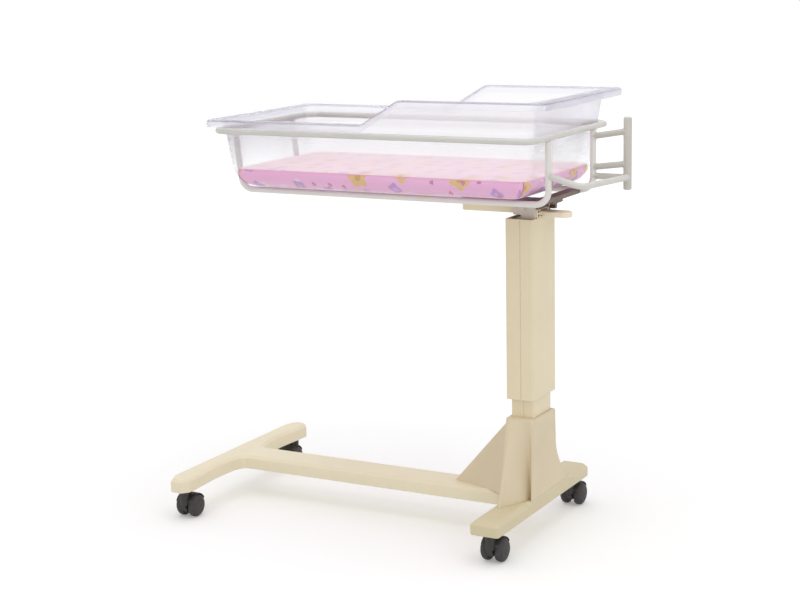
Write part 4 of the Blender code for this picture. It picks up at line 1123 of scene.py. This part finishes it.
# Casters
def add_wheel(bm, centre, out):
    """A wheel with a full, rounded outer side, a ring round its hub and a cap; out is the way it faces."""
    half = WHEEL_W / 2.0
    cap_r = 0.0034
    reach = 0.0135
    deep = 0.0098
    profile = [(cap_r, -half), (WHEEL_R - 0.0045, -half), (WHEEL_R - 0.0018, -half + 0.0012),
               (WHEEL_R - 0.0004, -half + 0.0034), (WHEEL_R, -half + 0.0056)]
    profile += arc(WHEEL_R - reach, half - deep, reach, deep, 10, 0.0, 84.0)
    profile += [(0.0112, half - 0.0008), (0.0106, half - 0.0007), (0.0098, half), (0.006, half + 0.0005),
                (cap_r, half + 0.0006)]
    add_lathe(bm, profile, centre, (out, 0.0, 0.0), 64)
    cap = [(TINY, half - 0.002), (cap_r, half - 0.002), (cap_r, half - 0.0002), (0.0026, half + 0.0006),
           (TINY, half + 0.0009)]
    add_lathe(bm, cap, centre, (out, 0.0, 0.0), 32)


def add_hood(bm, x, y, way):
    """The snug cover over both wheels with its web, and the boss that takes the stem."""
    axle = Vector((x, y + way * TRAIL, AXLE_Z))
    inner = WHEEL_R + 0.0009
    wide = (WHEEL_PITCH + WHEEL_W) / 2.0 - 0.0045
    rings = []
    for k in range(33):
        angle = 24.0 + 132.0 * k / 32.0
        full = sqrt(smoothstep((angle - 20.0) / 16.0) * smoothstep((160.0 - angle) / 16.0))
        thick = 0.0003 + 0.0016 * full
        half = wide * (0.9 + 0.1 * full)
        c = cos(radians(angle)) * way
        s = sin(radians(angle))
        edge = [(half, 0.0), (half, 0.3), (half - 0.0014, 0.8), (half - 0.004, 1.0)]
        section = [(-px, share) for px, share in edge] + [(0.0, 1.1)] + edge[::-1] + [(0.0, 0.0)]
        section = [(px, inner + thick * share) for px, share in section]
        rings.append([axle + Vector((px, c * r, s * r)) for px, r in section])
    add_loft(bm, rings)
    web = (WHEEL_PITCH - WHEEL_W) / 2.0 - 0.0005
    plate = [(c * way, max(s, -0.0095)) for c, s in arc(0.0, 0.0, inner, inner, 32, -20.0, 200.0)]
    add_prism(bm, [axle + Vector((-web, c, s)) for c, s in plate], (2.0 * web, 0.0, 0.0))
    top = FOOT_Z0 - 0.0005
    boss = [(0.0052, 0.03), (0.01, 0.03), (0.01, top - 0.0055), (0.0092, top - 0.001), (0.008, top),
            (0.0052, top)]
    add_lathe(bm, boss, (x, y, 0.0), UPRIGHT, 32)
    y0, y1 = sorted((y - 0.008 * way, y + 0.018 * way))
    add_box(bm, (x - web, y0, 0.024), (x + web, y1, 0.0545))


CASTERS = (
    ("front_right", CX, -0.201, 1.0),
    ("back_right", CX, 0.201, 1.0),
    ("front_left", LFX, -0.226, 1.0),
    ("back_left", LFX, 0.226, -1.0),
)
# Parts that stay as they are, in better finishes
kept = {"gas_spring_cylinder": gas_paint, "gas_spring_rod": steel, "post_top_glide": nylon,
        "sleeve_lower_glide": nylon, "lever_pin": steel}
for place, stem_x, stem_y, way in CASTERS:
    bm = bmesh.new()
    add_hood(bm, stem_x, stem_y, way)
    piece("caster_hood_" + place, bm, "caster_" + place, caster_plastic, "caster_plastic", ["hood_" + place],
          sharp=38.0)
    for side, hand in ((-1.0, "_a"), (1.0, "_b")):
        bm = bmesh.new()
        add_wheel(bm, (stem_x + side * WHEEL_PITCH / 2.0, stem_y + way * TRAIL, AXLE_Z), side)
        piece("tyre_" + place + hand, bm, "roller_" + place + hand, tread, "wheel_tread",
              ["wheel_" + place + hand], sharp=32.0)
    kept["stem_" + place] = steel
    kept["axle_" + place] = steel
for node, material in kept.items():
    data = frame["nodes"][node].data
    data.materials.clear()
    data.materials.append(material)


# Floor, light and camera
def looked_at(g):
    """1 for rays from the eye, also by way of a gloss or a clear sheet, and 0 for light that only fills in."""
    ray = g.node("LightPath").outputs
    return g.math("MAXIMUM", ray["Is Camera Ray"],
                  g.math("MAXIMUM", ray["Is Glossy Ray"], ray["Is Transmission Ray"]))


g = Graph("white_floor")
g.tree.nodes.remove(g.shader)
matt = g.node("BsdfDiffuse", {"Color": (0.86, 0.86, 0.86, 1.0)})
lift = g.span(g.vector("LENGTH", {0: g.place()})["Value"], 0.7, 2.6, 0.24, 0.5)
glow = g.node("Emission", {"Color": WHITE, "Strength": g.times(looked_at(g), lift)})
both = g.node("AddShader", {0: matt.outputs[0], 1: glow.outputs[0]})
g.feed(g.tree.nodes["Material Output"].inputs["Surface"], both.outputs[0])
bm = bmesh.new()
bmesh.ops.create_circle(bm, cap_ends=True, segments=96, radius=9.0)
floor = mesh_object("floor", bm, g.owner)
floor.location.z = -0.0004

g = Graph("studio", "worlds")
g.tree.nodes.clear()
level = g.span(looked_at(g), 0.0, 1.0, 0.71, 1.0)
sky = g.node("Background", {"Color": WHITE, "Strength": level})
g.node("OutputWorld", {"Surface": sky.outputs[0]})
scene.world = g.owner

for name, place, target, size, power in (
    ("top_softbox", (0.2, -0.3, 3.0), (0.1, 0.0, 0.4), 2.6, 22.0),
    ("right_softbox", (2.6, -1.2, 1.9), (0.1, 0.0, 0.5), 1.8, 8.0),
    ("front_fill", (-0.5, -3.4, 0.9), (0.0, 0.0, 0.6), 2.4, 3.0),
):
    data = bpy.data.lights.new(name, "AREA")
    data.size = size
    data.energy = power
    light = make_object(name, data)
    light.location = place
    light.rotation_euler = (Vector(target) - Vector(place)).to_track_quat("-Z", "Y").to_euler()

YAW = radians(28.7)
PITCH = radians(-11.4)
ROLL = radians(-1.2)
STAND = (1.701865, -3.13551, 1.1949)
FOCAL_PX = 1721.0  # focal length on a frame 800 wide
SENSOR = 36.0
data = bpy.data.cameras.new("camera")
data.sensor_width = SENSOR
data.lens = FOCAL_PX * SENSOR / 800.0
scene.camera = make_object("camera", data)
turned = Matrix.Translation(STAND)
for angle, axis in ((YAW, "Z"), (pi / 2.0 + PITCH, "X"), (ROLL, "Z")):
    turned @= Matrix.Rotation(angle, 4, axis)
scene.camera.matrix_world = turned
